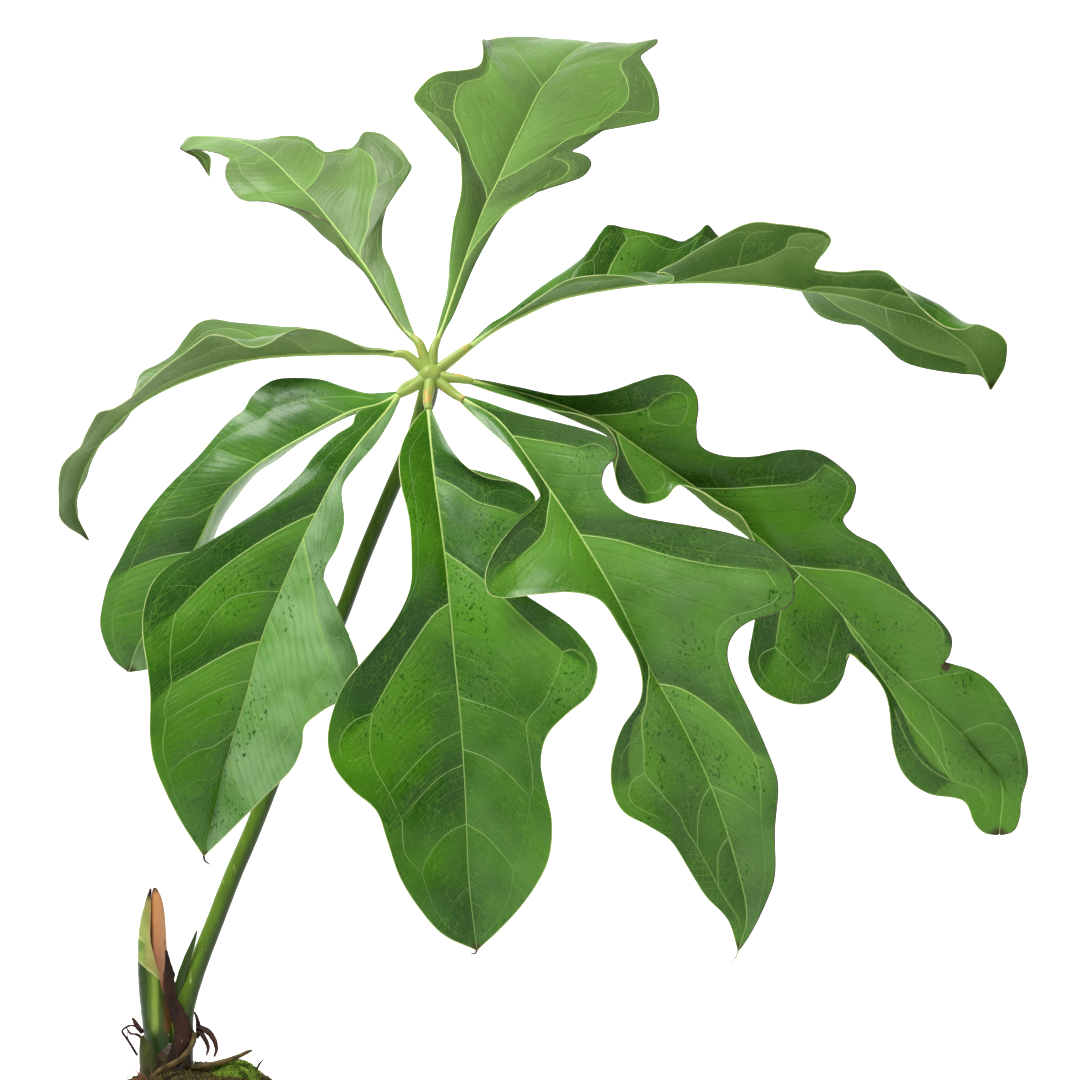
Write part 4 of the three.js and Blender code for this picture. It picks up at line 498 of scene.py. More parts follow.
            """125 0 643 0, 116 -1 644 .8, 106 -3 644 1.6, 93 -10 649 2.15, 81 -17 653 2.6, 71 -22 654 3,
        61 -26 653 3.35, 52 -29 648 3.7 5, 46 -30 644 4 7, 38 -29 641 4.3 8, 30 -26 642 4.6 6,
        21 -22 647 4.9 3, 14 -18 650 5.2, 6 -17 650 5.5, -3 -16 644 5.9, -13 -14 637 6.4, -27 -8 628 7,
        -37 -2 620 7.4, -47 2 612 7.8, -58 2 605 8.2, -67 -2 602 8.5, -71 -4 595 8.8, -75 -2 588 9.1,
        -79 0 580 9.4, -84 -3 575 9.7, -89 -6 568 10, -91 -7 558 10.6, -92 -4 545 11.3, -93 0 536 11.8,
        -89 8 529 12.3, -83 17 524 12.7, -78 26 519 13""",
            {
                STRONG: """4.9 0, 5.6 .13, 6.4 .2, 7.2 .24, 8 .22""",
                MEDIUM: """3.3 0, 3.7 .35, 4.4 .66, 5.2 .55, 5.85 .55, 6.4 .63, 7 .68, 8 .7, 9 .7 / 8 0,
        8.3 .3, 8.6 .68 / 9.4 0, 9.7 .35, 10 .72 / 9 .7, 10 .72, 11.2 .75, 12 .7""",
            },
        ),
        HalfPlan(
            """125 5 643 0, 115 8 645 .8, 105 12 646 1.6, 88 22 651 2.2, 64 34 658 3, 49 39 659 3.4,
        32 44 661 3.9, 14 48 663 4.4, 3 51 665 4.8, -5 52 664 5.2, -11 52 660 5.6, -18 52 651 6.1,
        -25 52 642 6.6, -35 53 636 7.1, -44 55 632 7.5, -48 56 628 7.8, -50 56 622 8.1, -51 57 614 8.4,
        -53 58 606 8.7, -57 59 599 9, -62 60 593 9.3, -72 60 585 9.75, -78 60 576 10.15, -81 59 569 10.5,
        -83 57 561 11, -87 51 552 11.5, -88 44 543 12, -85 34 530 12.6, -78 26 519 13""",
            {
                MEDIUM: """4 0, 4.26 .26, 4.46 .64, 4.95 .72, 5.46 .77, 6 .78, 7 .8, 8 .84, 9 .84, 10 .86,
        11 .84, 12 .78 / 5.5 0, 5.7 .4, 6 .78 / 7 0, 7.2 .4, 7.5 .82 / 8.4 0, 8.6 .4, 8.9 .84 / 9.8 0, 10 .4,
        10.3 .86""",
            }, rim=1,
        ),
        painted_haze=0.5,
    ),
}


def rows(text: str) -> Rows:
    """Rows of numbers from text, with commas between the rows."""
    return [[float(number) for number in row.split()] for row in text.split(",")]


def tables(text: str) -> list[Rows]:
    """Several tables from text, with a / between them."""
    return [rows(part) for part in text.split("/")]


def unit(vectors: Array) -> Array:
    """Vectors scaled to length 1."""
    return vectors / np.maximum(np.linalg.norm(vectors, axis=-1, keepdims=True), 1e-9)


def square_to(vectors: Array, along: Array) -> Array:
    """Unit vectors after taking away their share of a direction."""
    return unit(vectors - (vectors * along).sum(-1, keepdims=True) * along)


def walk(line: Array) -> Array:
    """Length of each step of a line."""
    return np.linalg.norm(np.diff(line, axis=0), axis=1)


def spline(points: Array | Rows, part: Array) -> tuple[Array, Array]:
    """Smooth curve through given points.

    Each stretch is the uniform Catmull-Rom cubic, whose slope at a point is half the step from the
    point before to the point after.

    Args:
        points: One row for each point.
        part: Places along the curve, 0 at the first point and 1 at the last.

    Returns:
        The curve's points and its unit direction there.
    """
    knots = np.asarray(points, float)
    last = len(knots) - 1
    padded = np.vstack([2 * knots[0] - knots[1], knots, 2 * knots[-1] - knots[-2]])
    place = np.clip(part, 0, 1) * last
    index = np.minimum(place.astype(int), last - 1)
    t = (place - index)[..., None]
    a, b, c, d = (padded[index + k] for k in range(4))
    square, cube = 2 * a - 5 * b + 4 * c - d, 3 * b - a - 3 * c + d
    spot = 0.5 * (2 * b + (c - a) * t + square * t**2 + cube * t**3)
    return spot, unit(0.5 * ((c - a) + 2 * square * t + 3 * cube * t**2))


def monotone(stations: Array, values: Array, wanted: Array) -> Array:
    """Values set at rising stations, read along a curve that doesn't overshoot them.

    Args:
        stations: Rising stations at which the values are set.
        values: The value at each station.
        wanted: Stations to read.

    Returns:
        The value at each wanted station.
    """
    secant = np.diff(values) / np.diff(stations)
    before, after = secant[:-1], secant[1:]
    total = np.where(before + after == 0, 1, before + after)
    inner = np.where(before * after > 0, 2 * before * after / total, 0)
    slope = np.concatenate([secant[:1], inner, secant[-1:]])
    i = np.clip(np.searchsorted(stations, wanted, side="right") - 1, 0, len(stations) - 2)
    gap = stations[i + 1] - stations[i]
    p = np.clip((wanted - stations[i]) / gap, 0, 1)
    blend = p * p * (3 - 2 * p)
    bend = slope[i] * p * (1 - p) ** 2 + slope[i + 1] * p * p * (p - 1)
    return values[i] * (1 - blend) + values[i + 1] * blend + gap * bend


def nearest(points: Array, samples: Array) -> Array:
    """Distance from each point to the nearest of the samples, worked out in blocks."""
    flat = points.reshape(-1, 3).astype(np.float32)
    spots = samples.astype(np.float32)
    centre = spots.mean(0)
    flat, spots = flat - centre, spots - centre
    spot_squares = (spots**2).sum(1)
    found = [
        np.sqrt(np.maximum((block**2).sum(1) + (spot_squares - 2 * block @ spots.T).min(1), 0))
        for block in np.array_split(flat, max(1, len(flat) // 3000))
    ]
    return np.concatenate(found).reshape(points.shape[:-1]).astype(float)


def ripple(points: Array, wave: float, seed: int) -> Array:
    """Smooth uneven value from -1 to 1 that changes over about one wave length, in millimetres."""
    rng = np.random.default_rng(seed)
    turns = unit(rng.normal(size=(7, 3))) * (FULL_TURN / wave) * rng.uniform(0.6, 1.5, (7, 1))
    return np.sin(points @ turns.T + rng.uniform(0, FULL_TURN, 7)).sum(-1) / 4


def boxed(points: Array) -> Array:
    """Points drawn in smoothly so that none leaves the CAD box at its sides and top.

    A point at the distance d inside a face of the box moves to the distance
    BOX_SOFTNESS * log(1 + exp(d / BOX_SOFTNESS)).
    """
    low, high = (np.array(corner) / MM for corner in CAD_BOX)
    moved = points.copy()
    inside = (moved[:, :2] - low[:2]) / BOX_SOFTNESS
    moved[:, :2] = low[:2] + BOX_SOFTNESS * np.logaddexp(0, inside)
    return high - BOX_SOFTNESS * np.logaddexp(0, (high - moved) / BOX_SOFTNESS)


@dataclass
class Shell:
    """A mesh being put together out of closed parts, in millimetres."""

    points: list[Array] = field(default_factory=list)
    corners: list[Array] = field(default_factory=list)
    sizes: list[Array] = field(default_factory=list)
    finishes: list[Array] = field(default_factory=list)
    values: dict[str, list[Array]] = field(default_factory=dict)
    count: int = 0

    def add(self, points: Array, faces: list[Array], finish: int | Array = 0, **values: Array) -> None:
        """Add one closed part.

        Args:
            points: Its points, one row each.
            faces: Blocks of faces, each block with one number of corners.
            finish: Index of the finish of all its faces, or one index for each face.
            **values: Named value of each of its points.
        """
        self.points.append(points)
        self.corners += [(block + self.count).ravel() for block in faces]
        self.sizes += [np.full(len(block), block.shape[1]) for block in faces]
        self.finishes.append(np.broadcast_to(np.asarray(finish), (sum(map(len, faces)),)))
        for name, value in values.items():
            self.values.setdefault(name, []).append(np.broadcast_to(value, (len(points),)))
        self.count += len(points)

    def make(self, name: str, node: str, slot: str, looks: list[Look]) -> bpy.types.Object:
        """Turn the parts into one object that stands for a CAD node.

        Args:
            name: Name of the object.
            node: CAD node it stands for.
            slot: The record's material slot; not used.
            looks: Materials that the finish indices count through.

        Returns:
            The object, riding on the root body.
        """
        mesh = bpy.data.meshes.new(name)
        points = boxed(np.concatenate(self.points)) * MM
        corners, sizes = np.concatenate(self.corners), np.concatenate(self.sizes)
        mesh.vertices.add(len(points))
        mesh.vertices.foreach_set("co", points.astype(np.float32).ravel())
        mesh.loops.add(len(corners))
        mesh.loops.foreach_set("vertex_index", corners.astype(np.int32))
        mesh.polygons.add(len(sizes))
        starts = np.concatenate([[0], np.cumsum(sizes)[:-1]])
        mesh.polygons.foreach_set("loop_start", starts.astype(np.int32))
        mesh.polygons.foreach_set("material_index", np.concatenate(self.finishes).astype(np.int32))
        mesh.update(calc_edges=True)
        mesh.shade_smooth()
        for key, blocks in self.values.items():
            layer = mesh.attributes.new(key, "FLOAT", "POINT")
            layer.data.foreach_set("value", np.concatenate(blocks).astype(np.float32))
        for look in looks:
            mesh.materials.append(look)
        piece = bpy.data.objects.new(name, mesh)
        bpy.context.scene.collection.objects.link(piece)
        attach(piece, "root")
        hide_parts(node)
        LOG.info("%s: %d faces", name, len(sizes))
        return piece


def polygons(*corner_grids: Array) -> Array:
    """Polygons from grids of indices, one grid for each corner."""
    return np.stack([grid.ravel() for grid in corner_grids], axis=1)


def sheet_faces(count: int, columns: int) -> list[Array]:
    """Faces of a closed sheet whose upper grid comes before its lower grid.

    Args:
        count: Rows of each grid.
        columns: Columns of each grid.

    Returns:
        Blocks of quads: upper, lower, left wall, right wall, first end, last end.
    """
    top = np.arange(count * columns).reshape(count, columns)
    low = top + count * columns
    return [
        polygons(top[:-1, :-1], top[:-1, 1:], top[1:, 1:], top[1:, :-1]),
        polygons(low[:-1, :-1], low[1:, :-1], low[1:, 1:], low[:-1, 1:]),
        polygons(top[:-1, 0], top[1:, 0], low[1:, 0], low[:-1, 0]),
        polygons(top[1:, -1], top[:-1, -1], low[:-1, -1], low[1:, -1]),
        polygons(top[0, 1:], top[0, :-1], low[0, :-1], low[0, 1:]),
        polygons(top[-1, :-1], top[-1, 1:], low[-1, 1:], low[-1, :-1]),
    ]


def thick_sheet(middle: Array, half: Array) -> Array:
    """Upper points, then lower points, of a sheet given by its middle surface.

    Both lie at the half thickness along the normal, which is the step across times the step along.
    """
    normal = np.cross(np.gradient(middle, axis=1), np.gradient(middle, axis=0))
    up = unit(normal) * half[..., None]
    return np.concatenate([(middle + up).reshape(-1, 3), (middle - up).reshape(-1, 3)])


def closed_rings(rings: Array, foot: Array | list[float], top: Array | list[float]) -> Mesh:
    """Closed tube through a grid of ring points, with a point in the middle of each end."""
    count, sides = rings.shape[:2]
    grid = np.arange(count * sides).reshape(count, sides)
    turned_grid = np.roll(grid, -1, axis=1)
    walls = polygons(grid[:-1], turned_grid[:-1], turned_grid[1:], grid[1:])
    below, above = np.full(sides, count * sides), np.full(sides, count * sides + 1)
    ends = [polygons(below, turned_grid[0], grid[0]), polygons(above, grid[-1], turned_grid[-1])]
    return np.concatenate([rings.reshape(-1, 3), [foot], [top]]), [walls, np.concatenate(ends)]


def circle(sides: int) -> Array:
    """Angles of the sides of a section."""
    return np.linspace(0, FULL_TURN, sides, endpoint=False)


def bar(route: Array, wide_way: Array, deep_way: Array, wide: Array, deep: Array, sides: int) -> Mesh:
    """Closed bar along a route, with an oval section and both ends drawn together.

    A ring's point at angle a is route + wide way * wide * cos a + deep way * deep * sin a.

    Args:
        route: Middle of each ring.
        wide_way: Unit direction of each ring's width.
        deep_way: Unit direction of each ring's depth, which is the way along times the wide way.
        wide: Half width of each ring, or of each ring and side.
        deep: Half depth, likewise.
        sides: Sides of the section.

    Returns:
        Points and blocks of faces.
    """
    angle = circle(sides)
    wide, deep = (np.asarray(size, float).reshape(len(route), -1) for size in (wide, deep))
    ring = route[:, None] + wide_way[:, None] * (wide * np.cos(angle))[..., None]
    ring = ring + deep_way[:, None] * (deep * np.sin(angle))[..., None]
    return closed_rings(ring, ring[0].mean(0), ring[-1].mean(0))


def stops_bar(
    stops: Rows, rings: int, sides: int, ridges: float = 0.0, seed: int = 1, first: tuple = (1, 0, 0)
) -> Mesh:
    """Closed bar through stops of [x, y, z, half width, half depth], with fine lengthwise ridges.

    Args:
        stops: Rows of the middle and sizes; a row without a depth is round.
        rings: Rings along the bar.
        sides: Sides of the section.
        ridges: Share by which ridges and dents change the radius.
        seed: Seed of the unevenness.
        first: Direction that the section's width is turned towards.

    Returns:
        Points and blocks of faces.
    """
    part = np.linspace(0, 1, rings)
    route, along = spline([stop[:3] for stop in stops], part)
    sizes, _ = spline([[stop[3], stop[-1]] for stop in stops], part)
    wide_way = square_to(np.broadcast_to(np.asarray(first, float), along.shape), along)
    angle = circle(sides)
    spots = np.empty((rings, sides, 3))
    spots[..., 0], spots[..., 1] = 9 * np.cos(angle), 9 * np.sin(angle)
    spots[..., 2] = 0.35 * walk(route).sum() * part[:, None]
    push = 1 + ridges * (ripple(spots, 6, seed) + 0.6 * ripple(spots * (1, 1, 3), 3, seed + 1))
    deep_way = np.cross(along, wide_way)
    return bar(route, wide_way, deep_way, sizes[:, :1] * push, sizes[:, 1:] * push, sides)


def ball(
    middle: tuple, size: tuple, rings: int, sides: int, pole: float, lumps: Callable[[Array, Array], Array]
) -> Mesh:
    """Closed ball of rings.

    Args:
        middle: Its middle.
        size: Half sizes along X, Y and Z.
        rings: Rings from the foot to the top.
        sides: Sides of each ring.
        pole: Turn at which the first ring and the last ring stop short of the poles.
        lumps: Factor of the radius at a turn up from the foot and an angle around.

    Returns:
        Points and blocks of faces.
    """
    turn = np.linspace(pole, math.pi - pole, rings)[:, None]
    route = np.array(middle) - np.cos(turn) * np.array([0, 0, size[2]])
    across, depth = np.tile([1.0, 0, 0], (rings, 1)), np.tile([0.0, 1, 0], (rings, 1))
    radius = np.sin(turn) * lumps(turn, circle(sides))
    return bar(route, across, depth, size[0] * radius, size[1] * radius, sides)


def half_places(route: Rows, count: int) -> Array:
    """Evenly read [station, across] places along a side vein's route."""
    return spline(route, np.linspace(0, 1, count))[0]


def station_track(places: Array, across: Array) -> Array:
    """Stations at which a vein's places reach the shares across."""
    return np.interp(across, np.maximum.accumulate(places[:, 1]), places[:, 0])


@dataclass
class HalfBlade:
    """One half of a leaflet's blade, from the rib to its margin.

    Attributes:
        rib: Rib points, one for each station.
        plan: Its margin and side veins.
        side: 1 for the left half, -1 for the right half.
    """

    rib: Rows
    plan: HalfPlan
    side: int

    def __post_init__(self) -> None:
        """Read the margin and the side veins, and the samples that the relief is measured from."""
        self.last = len(self.rib) - 1
        self.margin = np.array([[*row, 0][:5] for row in rows(self.plan.margin)])
        self.veins = [(kind, route) for kind, text in self.plan.veins.items() for route in tables(text)]
        self.samples = {kind: self.sampled(kind) for kind in self.plan.veins}
        self.rib_samples = spline(self.rib, np.linspace(0, 1, RIB_SAMPLES))[0]

    def sampled(self, kind: VeinKind) -> Array:
        """Points along all side veins of one kind."""
        routes = [route for found, route in self.veins if found is kind]
        return np.concatenate([self.lay(*half_places(route, VEIN_SAMPLES).T)[0] for route in routes])

    def lay(self, station: Array, across: Array) -> tuple[Array, Array, Array]:
        """Smooth half blade without relief.

        A barb runs from the rib to the margin as a quadratic curve. Its middle control point is half
        the chord, moved back along the rib by BARB_BOW widths and up by HALF_CAMBER widths and twice
        the camber.

        Args:
            station: Stations.
            across: Share of the barb, 0 at the rib and 1 at the margin.

        Returns:
            Points, unit normals of the upper face and the half's width at each point.
        """
        station, across = np.broadcast_arrays(np.asarray(station, float), np.asarray(across, float))
        marks = self.margin[:, 3]
        middle, along = spline(self.rib, station / self.last)
        index = monotone(marks, np.arange(len(marks), dtype=float), station)
        edge, _ = spline(self.margin[:, :3], index / (len(marks) - 1))
        chord = edge - middle
        width = np.linalg.norm(chord, axis=-1)
        up = unit(np.cross(along, chord) * self.side)
        lift = HALF_CAMBER * width + 2 * monotone(marks, self.margin[:, 4], station)
        control = middle + 0.5 * chord - BARB_BOW * width[..., None] * along + up * lift[..., None]
        a = across[..., None]
        return (1 - a) ** 2 * middle + 2 * a * (1 - a) * control + a * a * edge, up, width

    def surface(self, station: Array, across: Array) -> tuple[Array, Array, Array]:
        """Blade points with cushions between the veins, unit normals and the half's width.

        A cushion's height is CUSHION_HEIGHT times (1 - crease * exp(-distance / spread)) for the rib
        and each kind of vein, with the distance rounded off close to the vein, plus a slow unevenness.
        """
        points, up, width = self.lay(station, across)
        height = np.full(points.shape[:-1], CUSHION_HEIGHT)
        creases = [(self.rib_samples, 1.0, RIB_CREASE_SPREAD)]
        creases += [(samples, kind.crease, kind.spread) for kind, samples in self.samples.items()]
        for samples, crease, spread in creases:
            distance = nearest(points, samples)
            rounded = np.sqrt(distance**2 + CREASE_ROUNDING**2) - CREASE_ROUNDING
            height = height * (1 - crease * np.exp(-rounded / spread))
        height = height + 0.5 * ripple(points, 34, 5 + self.side) * np.minimum(1, across * 3)
        return points + up * (height * np.minimum(1, width / NARROW_HALF))[..., None], up, width

    def phase(self, station: Array, across: Array) -> tuple[Array, Array]:
        """Place among the side veins that start at the rib, and the stations from one to the next.

        The place rises by one from each such vein to the next, so its whole steps run along them.
        """
        from_rib = [route for _, route in self.veins if route[0][1] < RIB_START]
        shares = np.linspace(0, 1, TRACK_SHARES)
        tracks = [shares * 1.2 - 1.5]
        for route in sorted(from_rib, key=lambda points: points[0][0]):
            tracks.append(station_track(half_places(route, TRACK_SAMPLES), shares))
        tracks = np.array([*tracks, self.last + 0.5 + shares])
        tracks = np.maximum.accumulate(tracks + 0.02 * np.arange(len(tracks))[:, None], axis=0)
        index = np.arange(len(tracks), dtype=float)
        place, gap = np.zeros(across.shape), np.zeros(across.shape)
        for column in range(across.shape[1]):
            share = float(across[:, column].mean())
            track = np.array([np.interp(share, shares, row) for row in tracks])
            place[:, column] = np.interp(station[:, 0], track, index)
            step = np.clip(np.searchsorted(track, station[:, 0]) - 1, 0, len(track) - 2)
            gap[:, column] = track[step + 1] - track[step]
        return place, gap

    def fall(self, points: Array, station: Array, across: Array) -> Array:
        """Which way the blade falls beside its strong veins: -1 on a vein's base side, 1 beyond it, for
        painted shade and sheen.
        """
        total = np.zeros(across.shape)
        for route in (route for kind, route in self.veins if kind is STRONG):
            places = half_places(route, TRACK_SAMPLES)
            track = station_track(places, across)
            near = np.exp(-nearest(points, self.lay(*places.T)[0]) / FALL_REACH)
            total += np.tanh((station - track) / 0.04) * near
        return np.clip(total, -1, 1)

    def grid(self, stations: Array, inner: Array) -> tuple[Array, dict[str, Array]]:
        """Blade points at stations and shares across, with their values for the material."""
        width = self.lay(stations, np.ones((1, 1)))[2]
        band = np.clip(MARGIN_BAND / np.maximum(width, 1e-3), 0, 0.3)
        across = np.concatenate([inner * (1 - band), np.ones_like(band)], axis=1)
        station = np.broadcast_to(stations, across.shape)
        points, _, wide = self.surface(station, across)
        place, gap = self.phase(station, across)
        pace = np.linalg.norm(np.gradient(points[:, 0], axis=0), axis=-1) / np.gradient(stations[:, 0])
        stout = [nearest(points, samples) for kind, samples in self.samples.items() if kind is not FINE]
        return points, {
            "reach": across * wide * self.side,
            "phase": place + (HALF_PHASE if self.side < 0 else 0),
            "gap": gap * pace[:, None],
            "crease": np.minimum.reduce([*stout, across * wide]),
            # side of the strong veins, for the painted shade and sheen
            "fall": self.fall(points, station, across),
            "rim": np.full(across.shape, self.plan.rim),
            # share of the painted pale sheen
            "pale": np.full(across.shape, self.plan.pale),
        }


def add_cord(
    shell: Shell, path: tuple[Array, ...], size: tuple[Array, Array], sides: int, rank: float
) -> None:
    """Add a vein's cord to a shell.

    Args:
        shell: Shell to add it to.
        path: Middle, way along, way up and share of the length at each ring.
        size: Half width and half depth of each ring.
        sides: Sides of the section.
        rank: The vein's rank for the material.
    """
    route, along, up, part = path
    reach = np.append(np.repeat(part, sides), [0, 1])
    shell.add(*bar(route, np.cross(along, up), up, *size, sides), rank=rank, reach=reach)


@dataclass
class Leaflet:
    """One leaflet: a cushioned blade with its margin, its midrib, its side veins and its tip's hook."""

    name: str
    plan: Plan

    def __post_init__(self) -> None:
        """Set up the rib and the two halves."""
        self.rib = rows(self.plan.rib)
        self.last = len(self.rib) - 1
        self.left = HalfBlade(self.rib, self.plan.left, 1)
        self.right = HalfBlade(self.rib, self.plan.right, -1)

    def build(self, looks: list[Look], vein_look: Look) -> None:
        """Make the blade and its veins."""
        node = SHARED_NODES.get(self.name, self.name)
        shell = Shell()
        self.add_blade(shell)
        shell.make(f"{self.name}_blade", node, "blade", looks)
        cords = Shell()
        self.add_midrib(cords)
        for half in (self.left, self.right):
            for kind, route in half.veins:
                self.add_vein(cords, half, kind, route)
        if self.plan.hook:
            offsets = np.array(rows(self.plan.hook))
            hook = stops_bar((np.array([*self.rib[-1], 0]) + offsets).tolist(), 24, 8)
            cords.add(*hook, rank=0.1 if self.plan.brown else 0.5, reach=1.0)
        cords.make(f"{self.name}_veins", node, "blade", [vein_look])

    def row_stations(self) -> tuple[Array, int]:
        """Stations of the rows, closer together where the rib or a margin runs fast, and the columns."""
        fine = np.linspace(0, self.last - OPEN_END, 900)
        ends = ((self.left, 0.0), (self.left, 1.0), (self.right, 1.0))
        lines = [half.lay(fine, across)[0] for half, across in ends]
        total = np.concatenate([[0], np.cumsum(sum(walk(line) for line in lines))])
        count, columns = SMALL_BLADE_GRID if walk(lines[0]).sum() < SMALL_BLADE_LENGTH else BLADE_GRID
        return np.interp(np.linspace(0, total[-1], count), total, fine), columns

    def add_blade(self, shell: Shell) -> None:
        """Add the blade as a closed sheet from the left margin over the rib to the right one."""
        stations, columns = self.row_stations()
        inner = np.linspace(0, 1, columns) ** COLUMN_CROWDING
        left, values = self.left.grid(stations[:, None], inner)
        right, others = self.right.grid(stations[:, None], inner)
        middle = np.concatenate([left[:, ::-1], right[:, 1:]], axis=1)
        foot, along = spline(self.rib, np.zeros(1))
        middle[0] -= ((middle[0] - foot) @ along[0])[:, None] * along
        count, width = middle.shape[:2]
        joined = {
            key: np.concatenate([value[:, ::-1], others[key][:, 1:]], axis=1).ravel()
            for key, value in values.items()
        }
        rib_walk = np.concatenate([[0], np.cumsum(walk(left[:, 0]))])
        joined["along"] = np.repeat(rib_walk, width)
        joined["tip"] = rib_walk[-1] - joined["along"]
        # share of the painted haze of reflected light
        joined["painted_haze"] = np.full(count * width, self.plan.painted_haze)
        thickness = np.full((count, width), BLADE_HALF_THICKNESS)
        thickness[:, [0, -1]] *= MARGIN_THINNING
        faces = sheet_faces(count, width)
        upper = np.zeros((count - 1, width - 1), int)
        upper[:, [0, -1]] = 2
        walls = np.full(sum(map(len, faces[2:])), 2)
        finish = np.concatenate([upper.ravel(), np.maximum(upper, 1).ravel(), walls])
        both = {key: np.tile(value, 2) for key, value in joined.items()}
        shell.add(thick_sheet(middle, thickness), faces, finish, **both)

    def add_midrib(self, shell: Shell) -> None:
        """Add the midrib as an oval bar, low on the upper face and standing out underneath."""
        part = np.linspace(0, 1 - OPEN_END / self.last, RIB_RINGS)
        station = part * self.last
        route, along = spline(self.rib, part)
        beside = np.full(part.shape, 0.04)
        up = square_to(self.left.surface(station, beside)[1] + self.right.surface(station, beside)[1], along)
        radius = RIB_RADII[0] + (RIB_RADII[1] - RIB_RADII[0]) * part
        swelling = np.exp(-2.5 * station)
        wide = 0.4 + 0.9 * (1 - part) ** 1.2 + 0.95 * swelling
        deep = BLADE_HALF_THICKNESS + 0.5 * radius + 0.4 * swelling
        route = route - up * (RIB_SINK * radius)[:, None]
        add_cord(shell, (route, along, up, part), (wide, deep), RIB_SIDES, 1.0)

    @staticmethod
    def add_vein(shell: Shell, half: HalfBlade, kind: VeinKind, path: Rows) -> None:
        """Add one side vein as a thin oval cord that shows on both faces."""
        length = walk(half.lay(*half_places(path, 12).T)[0]).sum()
        count = int(np.clip(length / VEIN_RING_STEP, *VEIN_RINGS))
        station, across = half_places(path, count).T
        route, up, _ = half.surface(station, np.clip(across, 0, 0.995))
        along = unit(np.gradient(route, axis=0))
        up = square_to(up, along)
        taper = np.linspace(0, 1, count)
        wide = kind.start + (kind.tip - kind.start) * taper
        wide = wide * np.minimum(1, 0.45 + 4 * np.minimum(taper + 0.15, 1.001 - taper))
        deep = BLADE_HALF_THICKNESS + 0.08 + 0.35 * wide
        add_cord(shell, (route, along, up, taper), (wide, deep), kind.sides, kind.rank)


# Bars: x, y, z, half width, half depth; scale leaves: x, y, z, half width, curl
PETIOLE_LINE = """-15 0 176 8.6, -14.3 0 194 8, -12.6 0 214 7, -7.2 3 234 6.5, -.2 6 253 6.1, 7.2 8.5 272 5.9,
    18.2 13 301 5.8, 30.5 17.5 330 5.7, 58 24 400 5.4, 86.8 24 467 5.1, 102 23 507 5, 118.5 18.5 546 5,
    130 16 572 5.1, 136 14 585.5 5.3, 141 10 600 5.7, 145.5 5 614 6.4, 148 1 627 6"""
STEM_LINE = "-20 1 146 15 14, -21 0 165 16 15, -20 0 182 14 13, -19 0 194 9 8"
WING_LINE = """-4 -1 266 .6 .5, -6.5 -1 258 1.6 .7, -10.5 -2 247 2.4 .8, -14 -3 236 2.8 .8, -17 -3 224 2.6 .8,
    -18 -2 214 1.6 .8"""
GREEN_SHEATH = """-36 1 183 12.2 2.5, -38.6 1 202 11 2.5, -40.2 0 218 9.6 2.35, -41.4 0 232 8.6 2.2,
    -41.9 0 246 8.1 1.8, -41.7 0 259 7.4 1.5, -40.3 0 271 6.3 1.4, -38 0 281 4.6 1.3, -35.7 0 288.5 2.3 1.1,
    -34.2 0 293.5 .7 .8"""
YOUNG_SHEATH = """-24 0 196 5 5, -26 0 212 6 5.4, -28 0 230 6.2 5.2, -29 0 247 6 4.8, -29.4 0 262 5.6 4.4,
    -29.8 0 275 5.2 4, -30.2 0 285 4 3, -31 0 291 2.4 1.9, -31.6 0 294 1 .9"""
BROWN_CATAPHYLL = """-18.5 -14.5 182 4.6 .8, -13.8 -15 190 5.8 .9, -11 -14.5 199 6.2 .9, -12.4 -14 207 5.6 .9,
    -15.4 -13.5 215 4.4 .8, -19 -13 223 3.8 .7, -20.8 -12.5 231 3.9 .7, -20.6 -12 239 3.4 .6,
    -21.4 -11.5 247 1.8 .6, -22.6 -11 255 .6 .5"""
OLIVE_SCALE = "-33 -13.5 166 5 .9, -34.5 -15.5 178 7 .9, -36 -15 190 5.6 .9, -38 -13 200 1 .6"
FRONT_ROOT = """-4 -13.5 202 1.7, -5 -16.5 195 1.7, -11 -19.5 187 1.8, -18 -24.5 183 1.8, -24 -33 181 1.6,
    -28 -42 178 1.2"""
RIGHT_ROOT = """-6 -9.5 178.5 2, 1 -13.5 180 1.9, 8.5 -14 181.8 1.8, 16 -13.5 183.7 1.7, 24 -12.5 186.4 1.5,
    30 -12 189.2 1.2, 33 -12 190.4 .7"""
FIBRES = """-3 -5 205 1.8 .5, 3.5 -8 202 2 .5, 8 -10 197 1.7 .5, 9.9 -11 191 1.2 .5, 8.4 -12 186 .7 .5 /
    -3 -5 203 1.8 .5, 1.6 -9 198 1.6 .5, 4.5 -11 192 1.2 .5, 3.6 -13 187 .6 .5 /
    -5 -4.5 214 .6 .5, -3.2 -5 209 1.2 .5, -2.4 -5.5 203 1.8 .5, -3 -6.5 197 1 .5 /
    -42 -6 186 .9, -46 -7 193 .85, -49 -8 198 .8, -51.5 -8 202 .7, -48 -7 205 .7, -44 -6 205 .6,
    -40 -5 201 .5 /
    -38 -9 201 1.6 .4, -41 -10 205 1.8 .4, -43.5 -9.5 209 1.2 .4, -45 -9 211 .5 .3 /
    -37 -10 196 1.2 .4, -41 -10.5 200 1 .4, -46 -10 201 .8 .4, -49 -9 205 .4 .3 /
    -45 -7 192 .3, -47.5 -8 197 .28, -48 -8 201 .25, -46.5 -7 204 .22 /
    -50 -8 200 .22, -53 -8 206 .2, -53.5 -8 213 .18, -50 -7 218 .16, -45.5 -6 218 .13 /
    -33 -16 172 .35, -39 -18 176 .3, -44 -17 180 .25, -47 -15 184 .2"""
